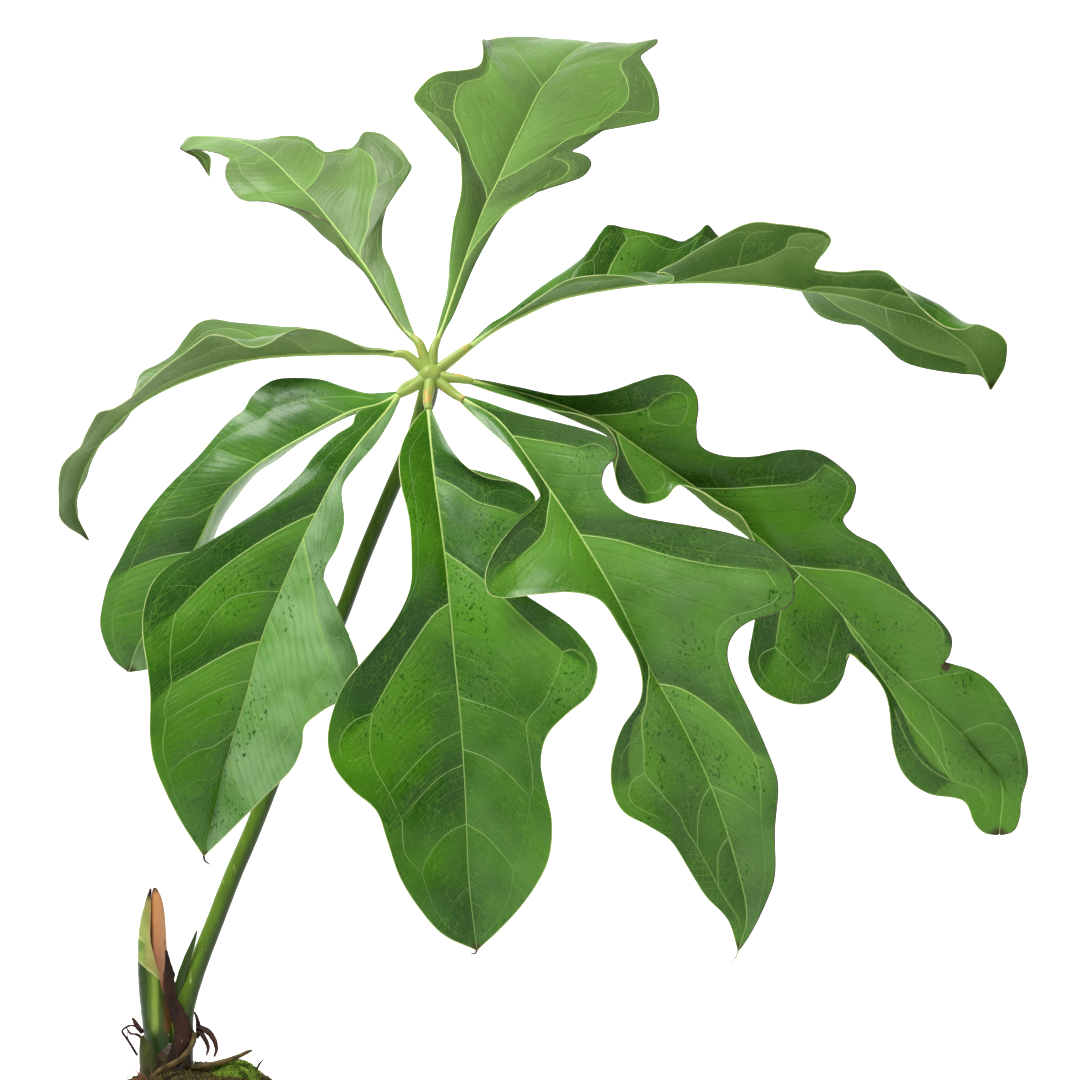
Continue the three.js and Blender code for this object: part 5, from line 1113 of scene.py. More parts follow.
SCALE_LEAVES = (
    ("green_sheath_leaf", "green_sheath", "sheath", GREEN_SHEATH, (-1, -0.25, 0), 0.7, 0.02),
    ("dry_cataphyll_leaf", "dry_cataphyll", "papery", BROWN_CATAPHYLL, (0, -1, 0), 0.4, 0.12),
    ("olive_scale_leaf", "olive_scale", "olive", OLIVE_SCALE, (-0.5, -1, 0), 0.6, 0.03),
)
CORDS = (
    ("young_sheath_roll", "young_sheath", "young", YOUNG_SHEATH, 160, 36, 0.02),
    ("front_root_cord", "front_root", "root", FRONT_ROOT, 120, 20, 0.06),
    ("right_root_cord", "right_root", "root", RIGHT_ROOT, 120, 20, 0.06),
    ("dry_fibre_strips", "dry_fibres", "papery", FIBRES, 70, 12, 0.12),
)
TWIG = "31 -9 168 1, 35 -10 176 .8, 37.5 -10.5 181 .7, 40 -10 184 .35"

# Radius and height, from the axis underneath to the axis on top
MOUND_PROFILE = """0 8.3, 57.7 8.3, 61.7 12.3, 80.7 104, 84.3 126, 76 128, 69 131, 62 143, 54 157, 43 168,
    33 174, 18 176, 0 178"""
MOUND_EDGE, MOUND_CROWN = 5, 8


@dataclass
class Petiole:
    """The leaning petiole with its stem, torn wing, swollen top and nine short arms."""

    def build(self, look: Look) -> None:
        """Make the petiole as one piece of closed bars."""
        shell = Shell()
        # side is +1 on the petiole's right (+X) and -1 on its left, for its painted shade on the right and
        # painted light on the left
        side = np.append(np.tile(np.cos(circle(PETIOLE_SIDES)), PETIOLE_RINGS), [0, 0])
        petiole = stops_bar(rows(PETIOLE_LINE), PETIOLE_RINGS, PETIOLE_SIDES, ridges=0.012, seed=3)
        shell.add(*petiole, arm=0.0, side=side)
        shell.add(*stops_bar(rows(STEM_LINE), 40, 40, ridges=0.03, seed=5), arm=0.0, side=0.0)
        shell.add(*stops_bar(rows(WING_LINE), 60, 16, ridges=0.06, seed=7), arm=-1.0, side=0.0)
        size = tuple(stretch * HUB_RADIUS for stretch in HUB_STRETCH)
        shell.add(*ball(HUB, size, 36, 40, 0.02, self.hub_lumps), arm=0.8, side=0.0)
        for index, plan in enumerate(PLANS.values()):
            shell.add(*self.arm(plan, index), arm=1.0, side=0.0)
        shell.make("petiole_green", "petiole", "petiole", [look])

    @staticmethod
    def hub_lumps(turn: Array, angle: Array) -> Array:
        """Factor of the swollen joint's radius."""
        return 1 + 0.035 * np.sin(5 * angle + 1.5 * np.sin(2 * turn))

    @staticmethod
    def arm(plan: Plan, index: int) -> Mesh:
        """Short wrinkled arm from the hub to the first rib point of a leaflet."""
        foot, along = (value[0] for value in spline(rows(plan.rib), np.zeros(1)))
        knee, end, hub = foot - ARM_GRIP[0] * along, foot + ARM_GRIP[1] * along, np.array(HUB)
        places = (hub, (hub + knee) / 2, knee, end)
        stops = [[*place, radius] for place, radius in zip(places, ARM_RADII)]
        return stops_bar(stops, 44, 20, ridges=0.02, seed=11 + index, first=(0, 0.3, 1))


@dataclass
class ScaleLeaf:
    """A curved scale leaf or sheath.

    Each row is an arc of a circle around the row's middle: with the half width w and the curl c, its
    radius is w / sin(c), and the point at share k turns by c * k.

    Attributes:
        stops: Rows of x, y, z, half width and curl.
        facing: Direction that its back faces.
        half: Half thickness.
        ragged: How far its margins are torn, as a share of the curl.
    """

    stops: str
    facing: tuple[float, float, float]
    half: float
    ragged: float

    def add_to(self, shell: Shell, count: int = 100, columns: int = 45) -> None:
        """Add the closed sheet to a shell."""
        part = np.linspace(0, 1, count)
        table = np.array(rows(self.stops))
        middle, along = spline(table[:, :3], part)
        sizes, _ = spline(table[:, 3:], part)
        front = square_to(np.broadcast_to(unit(np.array(self.facing)), along.shape), along)
        across = np.cross(front, along)
        share = np.linspace(-1, 1, columns)[None]
        tear = 1 + self.ragged * ripple(np.stack([part * 40, part * 9, part * 0], axis=1), 3, 9)[:, None]
        turn = sizes[:, 1:] * share * tear
        radius = sizes[:, :1] / np.sin(np.clip(sizes[:, 1:], 0.2, 1.5))
        grid = middle[:, None] - across[:, None] * (radius * np.sin(turn))[..., None]
        grid = grid + front[:, None] * (radius * (np.cos(turn) - 1))[..., None]
        pleats = 0.07 * np.sin(share * 38) * np.sin(np.pi * part)[:, None]
        grid = grid + front[:, None] * (pleats + 0.12 * ripple(grid, 9, 4))[..., None]
        points = thick_sheet(grid, np.full(grid.shape[:2], self.half))
        shell.add(points, sheet_faces(count, columns), share=np.tile(share.ravel(), 2 * count))


@dataclass
class Crown:
    """Sheaths, scales, roots and fibres around the foot of the petiole."""

    looks: dict[str, Look]

    def build(self) -> None:
        """Make every crown piece."""
        for name, node, slot, *leaf in SCALE_LEAVES:
            shell = Shell()
            ScaleLeaf(*leaf).add_to(shell)
            shell.make(name, node, slot, [self.looks[slot]])
        for name, node, slot, text, rings, sides, ridges in CORDS:
            shell = Shell()
            for index, stops in enumerate(tables(text)):
                shell.add(*stops_bar(stops, rings, sides, ridges, CORD_SEED + index))
            shell.make(name, node, slot, [self.looks[slot]])


def turned(profile: Rows, sides: int, push: Callable[[Array], Array] | None = None) -> Mesh:
    """Closed lathe shape about Z from a profile of [radius, height] that starts and ends on the axis.

    Args:
        profile: Points from the axis underneath, out, and back to the axis on top.
        sides: Sides around.
        push: Changes the points, given one row each, or None.

    Returns:
        Points and blocks of faces.
    """
    radius, height = np.array(profile[1:-1]).T[..., None]
    angle = circle(sides)
    rings = np.stack([radius * np.cos(angle), radius * np.sin(angle), height + 0 * angle], axis=-1)
    points, faces = closed_rings(rings, [0, 0, profile[0][1]], [0, 0, profile[-1][1]])
    return (points if push is None else push(points)), faces


def refined(profile: Rows, step: float) -> Rows:
    """The profile with points added so that none are further apart than the step."""
    knots = np.array(profile, float)
    pieces = [
        start + (end - start) * np.linspace(0, 1, max(2, math.ceil(length / step) + 1))[:-1, None]
        for start, end, length in zip(knots, knots[1:], walk(knots))
    ]
    return np.concatenate([*pieces, knots[-1:]]).tolist()


@dataclass
class ClayPot:
    """The plain round clay pot with a rim band and drainage holes."""

    sides: int = 96

    @staticmethod
    def profile() -> Rows:
        """Closed profile from the middle of the underside, up the outside and down the inside."""
        foot, rim, band, top = POT_FOOT_RADIUS, POT_RIM_RADIUS, POT_BAND_FOOT, POT_HEIGHT
        wall = rim - POT_RIM_STEP
        inner_foot = foot - POT_WALL
        return [
            [0, 0], [foot - 2, 0], [foot - 0.6, 0.5], [foot, 2], [wall - 2, band - 2], [wall + 2, band],
            [rim - 4, band + 0.6], [rim - 3, band + 2], [rim - 0.2, top - 4.5], [rim, top - 2.6],
            [rim - 0.8, top - 0.8], [rim - 2.5, top], [rim - 6, top], [rim - 7.4, top - 0.8],
            [rim - 8, top - 3], [wall - POT_WALL + 1, band], [inner_foot + 2, POT_FLOOR + 4],
            [inner_foot - 2, POT_FLOOR], [0, POT_FLOOR],
        ]

    @staticmethod
    def throw(points: Array) -> Array:
        """Points with the faint rings left by the wheel, and a slight wander of the wall."""
        radius = np.linalg.norm(points[:, :2], axis=1)
        rings = 0.12 * np.sin(points[:, 2] * 1.35) - 0.15
        wander = 0.1 * np.sin(2 * np.arctan2(points[:, 1], points[:, 0]) + points[:, 2] * 0.03)
        scale = 1 + np.clip((radius - 40) / 20, 0, 1) * (rings + wander) / np.maximum(radius, 1)
        return points * np.stack([scale, scale, np.ones_like(scale)], axis=1)

    def build(self, look: Look) -> None:
        """Make the pot and cut its drainage holes."""
        shell = Shell()
        shell.add(*turned(refined(self.profile(), 2.2), self.sides, self.throw))
        pot = shell.make("clay_pot", "pot", "clay", [look])
        holes = Shell()
        low, high = -2, POT_FLOOR + 2
        points, faces = turned([[0, low], [DRAIN_HOLE_RADIUS, low], [DRAIN_HOLE_RADIUS, high], [0, high]], 32)
        for k in range(DRAIN_HOLES):
            angle = FULL_TURN * (k + 0.5) / DRAIN_HOLES
            centre = np.array([math.cos(angle), math.sin(angle), 0]) * DRAIN_HOLE_OFFSET
            holes.add(points + centre, faces)
        drill = holes.make("drill", "pot", "clay", [look])
        cut = pot.modifiers.new("holes", "BOOLEAN")
        cut.object, cut.solver, cut.operation = drill, "EXACT", "DIFFERENCE"
        bpy.context.view_layer.update()
        bored = bpy.data.meshes.new_from_object(pot.evaluated_get(bpy.context.evaluated_depsgraph_get()))
        pot.modifiers.clear()
        pot.data = bored
        bpy.data.objects.remove(drill)


def scattered(spots: Array, out: Array, sizes: Array, rng: np.random.Generator) -> Mesh:
    """Small eight-sided crumbs or leaves at spots, their length leaning around the way out.

    Args:
        spots: Middle of each one.
        out: Direction in which each one stands.
        sizes: Half width, half depth and half length of each one.
        rng: Source of their random leaning.

    Returns:
        Points and blocks of faces.
    """
    lean = unit(out + 0.75 * unit(rng.normal(size=out.shape)))
    wide = unit(np.cross(lean, rng.normal(size=out.shape)))
    ways = [way * size[:, None] for way, size in zip((wide, np.cross(lean, wide), lean), sizes.T)]
    points = np.stack([way * sign for way in ways for sign in (1, -1)], axis=1) + spots[:, None]
    corners = [[0, 2, 4], [2, 1, 4], [1, 3, 4], [3, 0, 4], [2, 0, 5], [1, 2, 5], [3, 1, 5], [0, 3, 5]]
    faces = np.array(corners)[None] + 6 * np.arange(len(spots))[:, None, None]
    return points.reshape(-1, 3), [faces.reshape(-1, 3)]


@dataclass
class Mound:
    """Potting soil with the raised root mound, its crumbs, and the moss cushion on its right."""

    crumbs: int = 1500
    strands: int = 3000
    rootlets: int = 18
    leaves: int = 2600

    @staticmethod
    def soil_push(points: Array) -> Array:
        """Uneven mound above the soil level, with fine crumbly roughness."""
        x, y, z = points.T
        angle = np.arctan2(y, x)
        share = np.clip((z - SOIL_LEVEL) / (MOUND_TOP - SOIL_LEVEL), 0, 1) * (z >= SOIL_LEVEL + 2)
        lumps = 0.05 * np.sin(2 * angle + 0.6) + 0.035 * np.sin(3 * angle - z * 0.05)
        lumps = lumps + 0.025 * np.sin(7 * angle + z * 0.11)
        push = 1 + lumps * np.minimum(1, share * 2)
        lifted = z + 1.2 * share * np.sin(x * 0.13) * np.cos(y * 0.11)
        moved = np.stack([x * push + MOUND_SHIFT * share, y * push, lifted], axis=1)
        rough = 0.9 * ripple(moved, 9, 31) + 0.5 * ripple(moved, 4, 32)
        top = np.clip((z - SOIL_LEVEL + 2) / 4, 0, 1)
        return moved + unit(moved - np.array([0, 0, SOIL_LEVEL - 30])) * (rough * top)[:, None]

    def build(self, soil_looks: list[Look], moss: Look) -> None:
        """Make the soil and the moss."""
        rng = np.random.default_rng(SOIL_SEED)
        profile = np.array(rows(MOUND_PROFILE))
        shell = Shell()
        shell.add(*turned(refined(profile.tolist(), 2.0), SOIL_SIDES, self.soil_push))
        self.scatter(shell, rng, self.crumbs, profile[MOUND_EDGE:], (0.5, 1.5), (1, 0.8, 0.7), 0)
        self.scatter(shell, rng, self.strands, profile[MOUND_CROWN:], (0.7, 1.2), (0.4, 0.25, 2.0), 1)
        shell.add(*stops_bar(rows(TWIG), 24, 8, ridges=0.1, seed=8))
        for index in range(self.rootlets):
            foot = np.array(ROOTLET_FOOT) + rng.normal(0, [2.5, 3, 2.5])
            knee = foot + rng.normal([-3.5, -1.5, 4], [1.5, 1.5, 2])
            tip = knee + rng.normal([-1.5, -0.5, 4], [2.5, 1.5, 2.5])
            stops = [[*place, radius] for place, radius in zip((foot, knee, tip), ROOTLET_RADII)]
            shell.add(*stops_bar(stops, 12, 6, ridges=0.1, seed=50 + index), finish=2)
        shell.make("root_mound", "soil", "soil", soil_looks)
        cushion, count = Shell(), self.leaves
        points, faces = ball(MOSS_MIDDLE, MOSS_SIZE, 50, 60, 0.03, self.moss_lumps)
        cushion.add(points, faces)
        upper = points[points[:, 2] > MOSS_MIDDLE[2] - 3]
        spots = upper[rng.integers(0, len(upper), count)] + rng.normal(0, 0.5, (count, 3))
        out = unit((spots - MOSS_MIDDLE) / np.array(MOSS_SIZE) ** 2)
        leaves = rng.uniform(0.7, 1.3, (count, 1)) * np.array([0.5, 0.3, 1.3])
        cushion.add(*scattered(spots, out, leaves, rng))
        cushion.make("moss_pad", "moss_cushion", "moss", [moss])

    @staticmethod
    def moss_lumps(turn: Array, angle: Array) -> Array:
        """Factor of the moss cushion's radius."""
        return 1 + 0.05 * np.sin(4 * angle + 3 * turn) * np.sin(5 * turn)

    def scatter(
        self, shell: Shell, rng: np.random.Generator, count: int, profile: Array,
        scales: tuple[float, float], size: tuple[float, float, float], finish: int,
    ) -> None:
        """Add crumbs or strands of old moss at random spots on the mound.

        Args:
            shell: Shell to add them to.
            rng: Source of the random draws.
            count: How many of them.
            profile: Stretch of the mound's profile that they lie on.
            scales: Least and greatest scale.
            size: Half width, half depth and half length at the scale 1.
            finish: Index of their finish.
        """
        even = rng.uniform(0, 1, count)
        share = np.sqrt(even) if finish == 0 else even
        place, stops = (1 - share) * (len(profile) - 1), np.arange(len(profile))
        radius, height = (np.interp(place, stops, column) for column in profile.T)
        angle = rng.uniform(0, FULL_TURN, count)
        spots = self.soil_push(np.stack([radius * np.cos(angle), radius * np.sin(angle), height], axis=1))
        sizes = rng.uniform(*scales, (count, 1)) * np.array(size)
        shell.add(*scattered(spots, unit(spots - np.array([0, 0, SOIL_LEVEL - 40])), sizes, rng), finish)


Socket = bpy.types.NodeSocket
Color = tuple[float, float, float, float]


def srgb(red: int, green: int, blue: int) -> Color:
    """Linear colour from display values of 0 to 255."""
    linear = [((c / 255 + 0.055) / 1.055) ** 2.4 if c > 10 else c / 255 / 12.92 for c in (red, green, blue)]
    return (*linear, 1.0)


WITHERED = srgb(62, 40, 24)
# Colour of the painted pale sheen on some leaflet halves
PALE_SHEEN = srgb(148, 186, 130)
# Colour of the painted haze of reflected light on the hazier leaflets
PAINTED_HAZE = srgb(144, 160, 108)
WET_GREEN = srgb(18, 74, 4)
NOTCH_SCAR = (0.4795, -0.024, 0.439)
FOLD_SLOPE, FOLD_HEIGHT, FOLD_CREASE = 0.82, 213.1, 15.5


class Graph:
    """A material's shader graph, built up node by node."""

    def __init__(self, name: str) -> None:
        """Start an empty material."""
        self.material = bpy.data.materials.new(name)
        self.material.use_nodes = True
        self.tree = self.material.node_tree
        self.tree.nodes.clear()

    def node(self, kind: str, settings: dict | None = None, **inputs: object) -> bpy.types.Node:
        """Add a node.

        Args:
            kind: Its Blender type.
            settings: Properties to set on it.
            **inputs: Values or sockets for its inputs, with _ for a space; a leading i counts inputs.

        Returns:
            The node.
        """
        node = self.tree.nodes.new(kind)
        for key, value in (settings or {}).items():
            setattr(node, key, value)
        for key, value in inputs.items():
            counted = key[0] == "i" and key[1:].isdigit()
            socket = node.inputs[int(key[1:]) if counted else key.replace("_", " ")]
            if isinstance(value, Socket):
                self.tree.links.new(value, socket)
            else:
                socket.default_value = value
        return node

    def value(self, name: str) -> Socket:
        """A point value of the piece."""
        return self.node("ShaderNodeAttribute", {"attribute_name": name}).outputs["Fac"]

    def place(self) -> Socket:
        """Object coordinates, in metres."""
        return self.node("ShaderNodeTexCoord").outputs["Object"]

    def axis(self, place: Socket, index: int) -> Socket:
        """One coordinate of a place."""
        return self.node("ShaderNodeSeparateXYZ", Vector=place).outputs[index]

    def math(self, operation: str, *values: object) -> Socket:
        """The result of a sum on numbers or sockets."""
        inputs = {f"i{k}": value for k, value in enumerate(values)}
        return self.node("ShaderNodeMath", {"operation": operation}, **inputs).outputs[0]

    def times(self, first: Socket, *others: Socket | float) -> Socket:
        """The product of numbers or sockets."""
        for other in others:
            first = self.math("MULTIPLY", first, other)
        return first

    def ramp(self, value: Socket, low: float, high: float, first: float = 0.0, last: float = 1.0) -> Socket:
        """A value moved from the range low to high to the range first to last, with smooth, clamped ends."""
        ranges = {"From_Min": low, "From_Max": high, "To_Min": first, "To_Max": last}
        found = self.node("ShaderNodeMapRange", {"interpolation_type": "SMOOTHSTEP"}, Value=value, **ranges)
        return found.outputs["Result"]

    def noise(
        self, place: Socket, scale: float, detail: float = 3.0, rough: float = 0.55,
        stretch: tuple[float, float, float] = (1, 1, 1),
    ) -> Socket:
        """Fractal noise from 0 to 1, with a factor on the place along each axis."""
        if stretch != (1, 1, 1):
            place = self.stretch(place, stretch)
        found = self.node("ShaderNodeTexNoise", Vector=place, Scale=scale, Detail=detail, Roughness=rough)
        return found.outputs["Fac"]

    def stretch(self, place: Socket, scale: tuple[float, float, float]) -> Socket:
        """A place scaled by its own factor along each axis."""
        return self.node("ShaderNodeMapping", Vector=place, Scale=scale).outputs[0]

    def coats(self, color: Socket | Color, *coats: tuple[Socket, Socket | Color]) -> Socket:
        """A colour under coats of other colours, each laid over the last by its own share."""
        for share, coat in coats:
            color = self.node("ShaderNodeMix", {"data_type": "RGBA"}, i0=share, i6=color, i7=coat).outputs[2]
        return color

    def finish(
        self, color: Socket | Color, roughness: Socket | float, height: Socket | None = None,
        depth: float = 0.0003, **extra: object,
    ) -> Look:
        """Close the graph with a principled surface and an optional fine bump."""
        inputs = {"Base_Color": color, "Roughness": roughness, **extra}
        if height is not None:
            bump = self.node("ShaderNodeBump", Height=height, Distance=depth, Strength=1.0)
            inputs["Normal"] = bump.outputs[0]
        surface = self.node("ShaderNodeBsdfPrincipled", **inputs)
        self.node("ShaderNodeOutputMaterial", Surface=surface.outputs[0])
        return self.material


@dataclass(frozen=True)
class BladeFinish:
    """The living blade: patchy green with fine parallel veins and a net between them.

    Attributes:
        name: Name of the material.
        dark: Colour of its deep patches, and of the painted shade by the strong veins and in the valleys.
        light: Colour of its light patches.
        line: Colour of the fine veins.
        sheen: Colour of the painted sheen on the slopes beyond the strong veins.
        roughness: Roughness of the surface.
        wet: Share of the dark wet flecks that shows.
        back: Whether it is the underside.
    """

    name: str
    dark: Color
    light: Color
    line: Color
    sheen: Color
    roughness: float
    wet: float = 0.0
    back: bool = False

    def material(self) -> Look:
        """Build the material."""
        g = Graph(self.name)
        place = g.place()
        fall, pale, painted_haze = (g.value(name) for name in ("fall", "pale", "painted_haze"))
        lines, valleys = self.lines(g)
        color = g.coats(
            self.dark,
            (g.ramp(g.noise(place, 16, 2, 0.5), 0.22, 0.74), self.light),
            # painted shade on the base side of each strong vein and painted sheen beyond it
            (g.ramp(fall, -0.8, 0.05, 0.9, 0.0), self.dark),
            (g.ramp(fall, 0.1, 0.9, 0.0, 0.45), self.sheen),
            # painted pale sheen on the halves whose value pale is above 0
            (g.times(pale, g.ramp(g.noise(place, 30, 3), 0.3, 0.7, 0.3, 1.0)), PALE_SHEEN),
            (g.ramp(g.value("crease"), 0.3, 1.8, 0.15, 0.0), self.line),
            # painted shade in the valleys along the fine veins
            (g.times(valleys, 0.22), self.dark),
            (g.times(lines, 0.55), self.line),
            (g.times(g.noise(place, 900, 2, 0.6), 0.16), self.dark),
            # painted haze of reflected light, laid over each leaflet by its share
            (g.times(painted_haze, 0.55), PAINTED_HAZE),
        )
        rough = g.ramp(g.noise(place, 60, 3), 0.3, 0.7, self.roughness - 0.06, self.roughness + 0.08)
        coat = 0.0
        if not self.back:
            wet = self.flecks(g, place, painted_haze)
            color = g.coats(color, (wet, WET_GREEN))
            rough = g.math("MULTIPLY_ADD", wet, -0.26, rough)
            # the clear coat is cut back where the painted haze and the painted pale sheen stand in for its
            # reflection
            coat = g.times(g.ramp(painted_haze, 0.1, 0.4, 0.24, 0.05), g.math("SUBTRACT", 1.0, pale))
        off_scar = g.node("ShaderNodeVectorMath", {"operation": "DISTANCE"}, i0=place, i1=NOTCH_SCAR)
        scar = g.ramp(off_scar.outputs["Value"], 0.0025, 0.0045, 0.9, 0.0)
        worn = g.math("MAXIMUM", g.ramp(g.value("tip"), 2.0, 8.0, 0.95, 0.0), scar)
        color = g.coats(color, (worn, WITHERED))
        height = g.math("MULTIPLY_ADD", valleys, -0.8, g.times(lines, -0.4))
        height = g.math("ADD", height, g.times(g.noise(place, 420, 3), 0.8))
        gloss = {"Specular_IOR_Level": 0.12, "Coat_Weight": coat, "Coat_Roughness": 0.22}
        return g.finish(color, rough, height, 0.0002, **gloss)

    @staticmethod
    def lines(g: Graph) -> tuple[Socket, Socket]:
        """Fine veins that run along the side veins, joined by a net, and the soft valleys they lie in, which
        get a bump and painted shade.
        """
        spot = g.node("ShaderNodeCombineXYZ", X=g.value("reach"), Y=g.value("along")).outputs[0]
        step = g.math("FRACT", g.times(g.value("phase"), 6.0))
        off_line = g.times(g.math("ABSOLUTE", g.math("SUBTRACT", step, 0.5)), g.value("gap"), 0.167)
        wobble = g.times(g.math("SUBTRACT", g.noise(spot, 0.16, 2), 0.5), 0.9)
        off = g.math("ABSOLUTE", g.math("ADD", off_line, wobble))
        cells = g.stretch(spot, (0.24, 0.36, 1.0))
        edges = {"feature": "DISTANCE_TO_EDGE"}
        net = g.node("ShaderNodeTexVoronoi", edges, Vector=cells, Scale=1.0, Randomness=0.9)
        seen = g.ramp(g.noise(spot, 0.05, 2), 0.4, 0.6, 0.35, 1.0)
        mesh = g.ramp(net.outputs["Distance"], 0.015, 0.075, 0.45, 0.0)
        joined = g.math("MAXIMUM", g.ramp(off, 0.06, 0.36, 0.7, 0.0), mesh)
        return g.times(joined, seen), g.times(g.ramp(off, 0.2, 2.2, 1.0, 0.0), seen)

    def flecks(self, g: Graph, place: Socket, painted_haze: Socket) -> Socket:
        """Share of the dark wet flecks, short strokes gathered in patches."""
        patches = g.times(g.ramp(g.noise(place, 20, 2), 0.54, 0.6), g.ramp(painted_haze, 0.12, 0.25, 1.0, 0.0))
        strokes = g.noise(place, 520, 2.0, 0.6, (1, 1, 0.6))
        return g.times(g.ramp(strokes, 0.6, 0.64), patches, self.wet)


@dataclass(frozen=True)
class MarginFinish:
    """The thin rim of the blade, pale on one side and purple-brown where the value rim is 1."""

    name: str
    pale: Color
    dull: Color
    dark: Color

    def material(self) -> Look:
        """Build the material."""
        g = Graph(self.name)
        noise = g.noise(g.place(), 60, 3)
        dark = g.times(g.value("rim"), g.ramp(noise, 0.3, 0.5, 0.55, 1.0))
        return g.finish(g.coats(self.pale, (g.ramp(noise, 0.35, 0.65), self.dull), (dark, self.dark)), 0.45)


@dataclass(frozen=True)
class VeinFinish:
    """Midrib and side veins, paler the stouter they are and the nearer the leaflet's foot."""

    name: str

    def material(self) -> Look:
        """Build the material."""
        g = Graph(self.name)
        rank, place = g.value("rank"), g.place()
        foot = g.ramp(g.value("reach"), 0.0, 0.55, 1.0, 0.0)
        color = g.coats(
            srgb(104, 148, 66),
            (g.ramp(rank, 0.25, 0.8), srgb(150, 186, 94)),
            (g.times(g.ramp(rank, 0.85, 0.95), foot), srgb(176, 200, 104)),
            (g.ramp(g.noise(place, 300, 3), 0.4, 0.7, 0.0, 0.25), srgb(96, 140, 60)),
            (g.ramp(rank, 0.2, 0.12), WITHERED),
        )
        return g.finish(color, 0.42, g.noise(place, 700, 2), 0.0001)


@dataclass(frozen=True)
class StalkFinish:
    """Petiole skin: yellow-green at the hub and arms, deep olive above, fresh green below, with painted shade
    on its right side and painted light on its left.
    """

    name: str

    def material(self) -> Look:
        """Build the material."""
        g = Graph(self.name)
        place = g.place()
        height, arm, side = g.axis(place, 2), g.value("arm"), g.value("side")
        streaks = g.noise(place, 260, 4, 0.6, (1, 1, 0.12))
        ticks = g.ramp(g.noise(place, 330, 1, stretch=(1, 1, 0.3)), 0.7, 0.74)
        blush = g.coats(srgb(150, 172, 78), (g.ramp(g.noise(place, 90, 2), 0.52, 0.72), srgb(206, 164, 84)))
        color = g.coats(
            srgb(80, 110, 18),
            (g.ramp(height, 0.3, 0.5), srgb(66, 92, 10)),
            (g.ramp(streaks, 0.35, 0.7, 0.0, 0.4), srgb(104, 146, 40)),
            (g.times(ticks, g.ramp(height, 0.2, 0.34, 0.8, 0.1)), srgb(176, 196, 116)),
            (g.ramp(arm, 0.3, 0.7), blush),
            (g.ramp(height, 0.606, 0.618), blush),
            (g.ramp(arm, -0.9, -0.2, 0.85, 0.0), srgb(38, 60, 18)),
            # painted shade down the petiole's right side and painted light down its left
            (g.ramp(side, -0.2, 0.9, 0.0, 0.85), srgb(36, 58, 4)),
            (g.ramp(side, -0.9, -0.3, 0.3, 0.0), srgb(126, 158, 60)),
            (g.ramp(height, 0.212, 0.192), srgb(58, 46, 22)),
        )
        return g.finish(color, 0.42, streaks, 0.0001, Specular_IOR_Level=0.35)


@dataclass(frozen=True)
class SheathFinish:
    """The green sheath: a pale hood above a slanting fold, deep green with a bright streak below."""

    name: str

    def material(self) -> Look:
        """Build the material.

        With x and z in millimetres, the fold lies where z = FOLD_HEIGHT - FOLD_SLOPE * x. A fainter
        crease lies FOLD_CREASE above it, on the left.
        """
        g = Graph(self.name)
        place = g.place()
        wander = g.math("MULTIPLY_ADD", g.noise(place, 160, 3), 2.4, -1.2)
        x = g.math("MULTIPLY_ADD", g.axis(place, 0), 1000.0, g.times(wander, 0.5))
        z = g.math("MULTIPLY_ADD", g.axis(place, 2), 1000.0, wander)
        over = g.math("ADD", z, g.math("MULTIPLY_ADD", x, FOLD_SLOPE, -FOLD_HEIGHT))
        off_crease = g.math("ABSOLUTE", g.math("SUBTRACT", over, FOLD_CREASE))
        left = g.ramp(x, -36.5, -39.0)
        right, up = g.math("ADD", x, 40.5), g.math("ADD", z, -257.0)
        off_patch = g.math("SQRT", g.math("ADD", g.times(right, right), g.times(up, up, 0.5)))
        streaks = g.noise(place, 420, 4, 0.6, (1, 1, 0.08))
        scrapes = g.ramp(g.noise(place, 240, 2, stretch=(1, 1, 0.5)), 0.62, 0.68, 0.0, 0.7)
        lower = g.coats(
            srgb(36, 60, 6),
            (g.ramp(x, -37.0, -33.0), srgb(82, 112, 24)),
            (g.times(g.ramp(x, -33.5, -31.0), g.ramp(x, -29.5, -27.5, 0.85, 0.0)), srgb(142, 168, 66)),
            (g.ramp(x, -28.5, -25.5), srgb(66, 80, 22)),
            (g.times(g.ramp(x, -25.5, -23.5), g.ramp(z, 196.0, 204.0)), srgb(112, 66, 28)),
            (g.ramp(z, 208.0, 196.0), srgb(44, 66, 24)),
        )
        hood = g.coats(
            srgb(158, 168, 88),
            (g.ramp(g.noise(place, 120, 3), 0.4, 0.7), srgb(122, 138, 62)),
            (g.ramp(x, -37.0, -34.0, 0.0, 0.5), srgb(176, 156, 92)),
            (g.ramp(z, 262.0, 284.0, 0.0, 0.5), srgb(122, 104, 58)),
            (g.ramp(off_patch, 1.6, 3.4, 0.85, 0.0), srgb(58, 78, 28)),
            (g.times(g.ramp(over, 17.0, 14.5, 0.0, 0.55), left), srgb(120, 156, 62)),
            (g.times(g.ramp(off_crease, 0.2, 0.9, 0.7, 0.0), left), srgb(206, 204, 140)),
        )
        color = g.coats(
            lower,
            (g.ramp(over, -0.8, 0.4), hood),
            (g.ramp(g.math("ABSOLUTE", over), 0.3, 1.1, 0.8, 0.0), srgb(196, 200, 130)),
            (g.ramp(streaks, 0.4, 0.72, 0.0, 0.25), srgb(70, 98, 34)),
            (g.times(g.ramp(g.value("share"), 0.94, 0.975), g.ramp(z, 208.0, 220.0)), srgb(206, 196, 128)),
            (g.times(scrapes, g.ramp(z, 206.0, 198.0)), srgb(190, 190, 160)),
            (g.ramp(z, 284.0, 290.0), srgb(36, 22, 16)),
        )
        return g.finish(color, 0.36, streaks, 0.00012, Specular_IOR_Level=0.3)


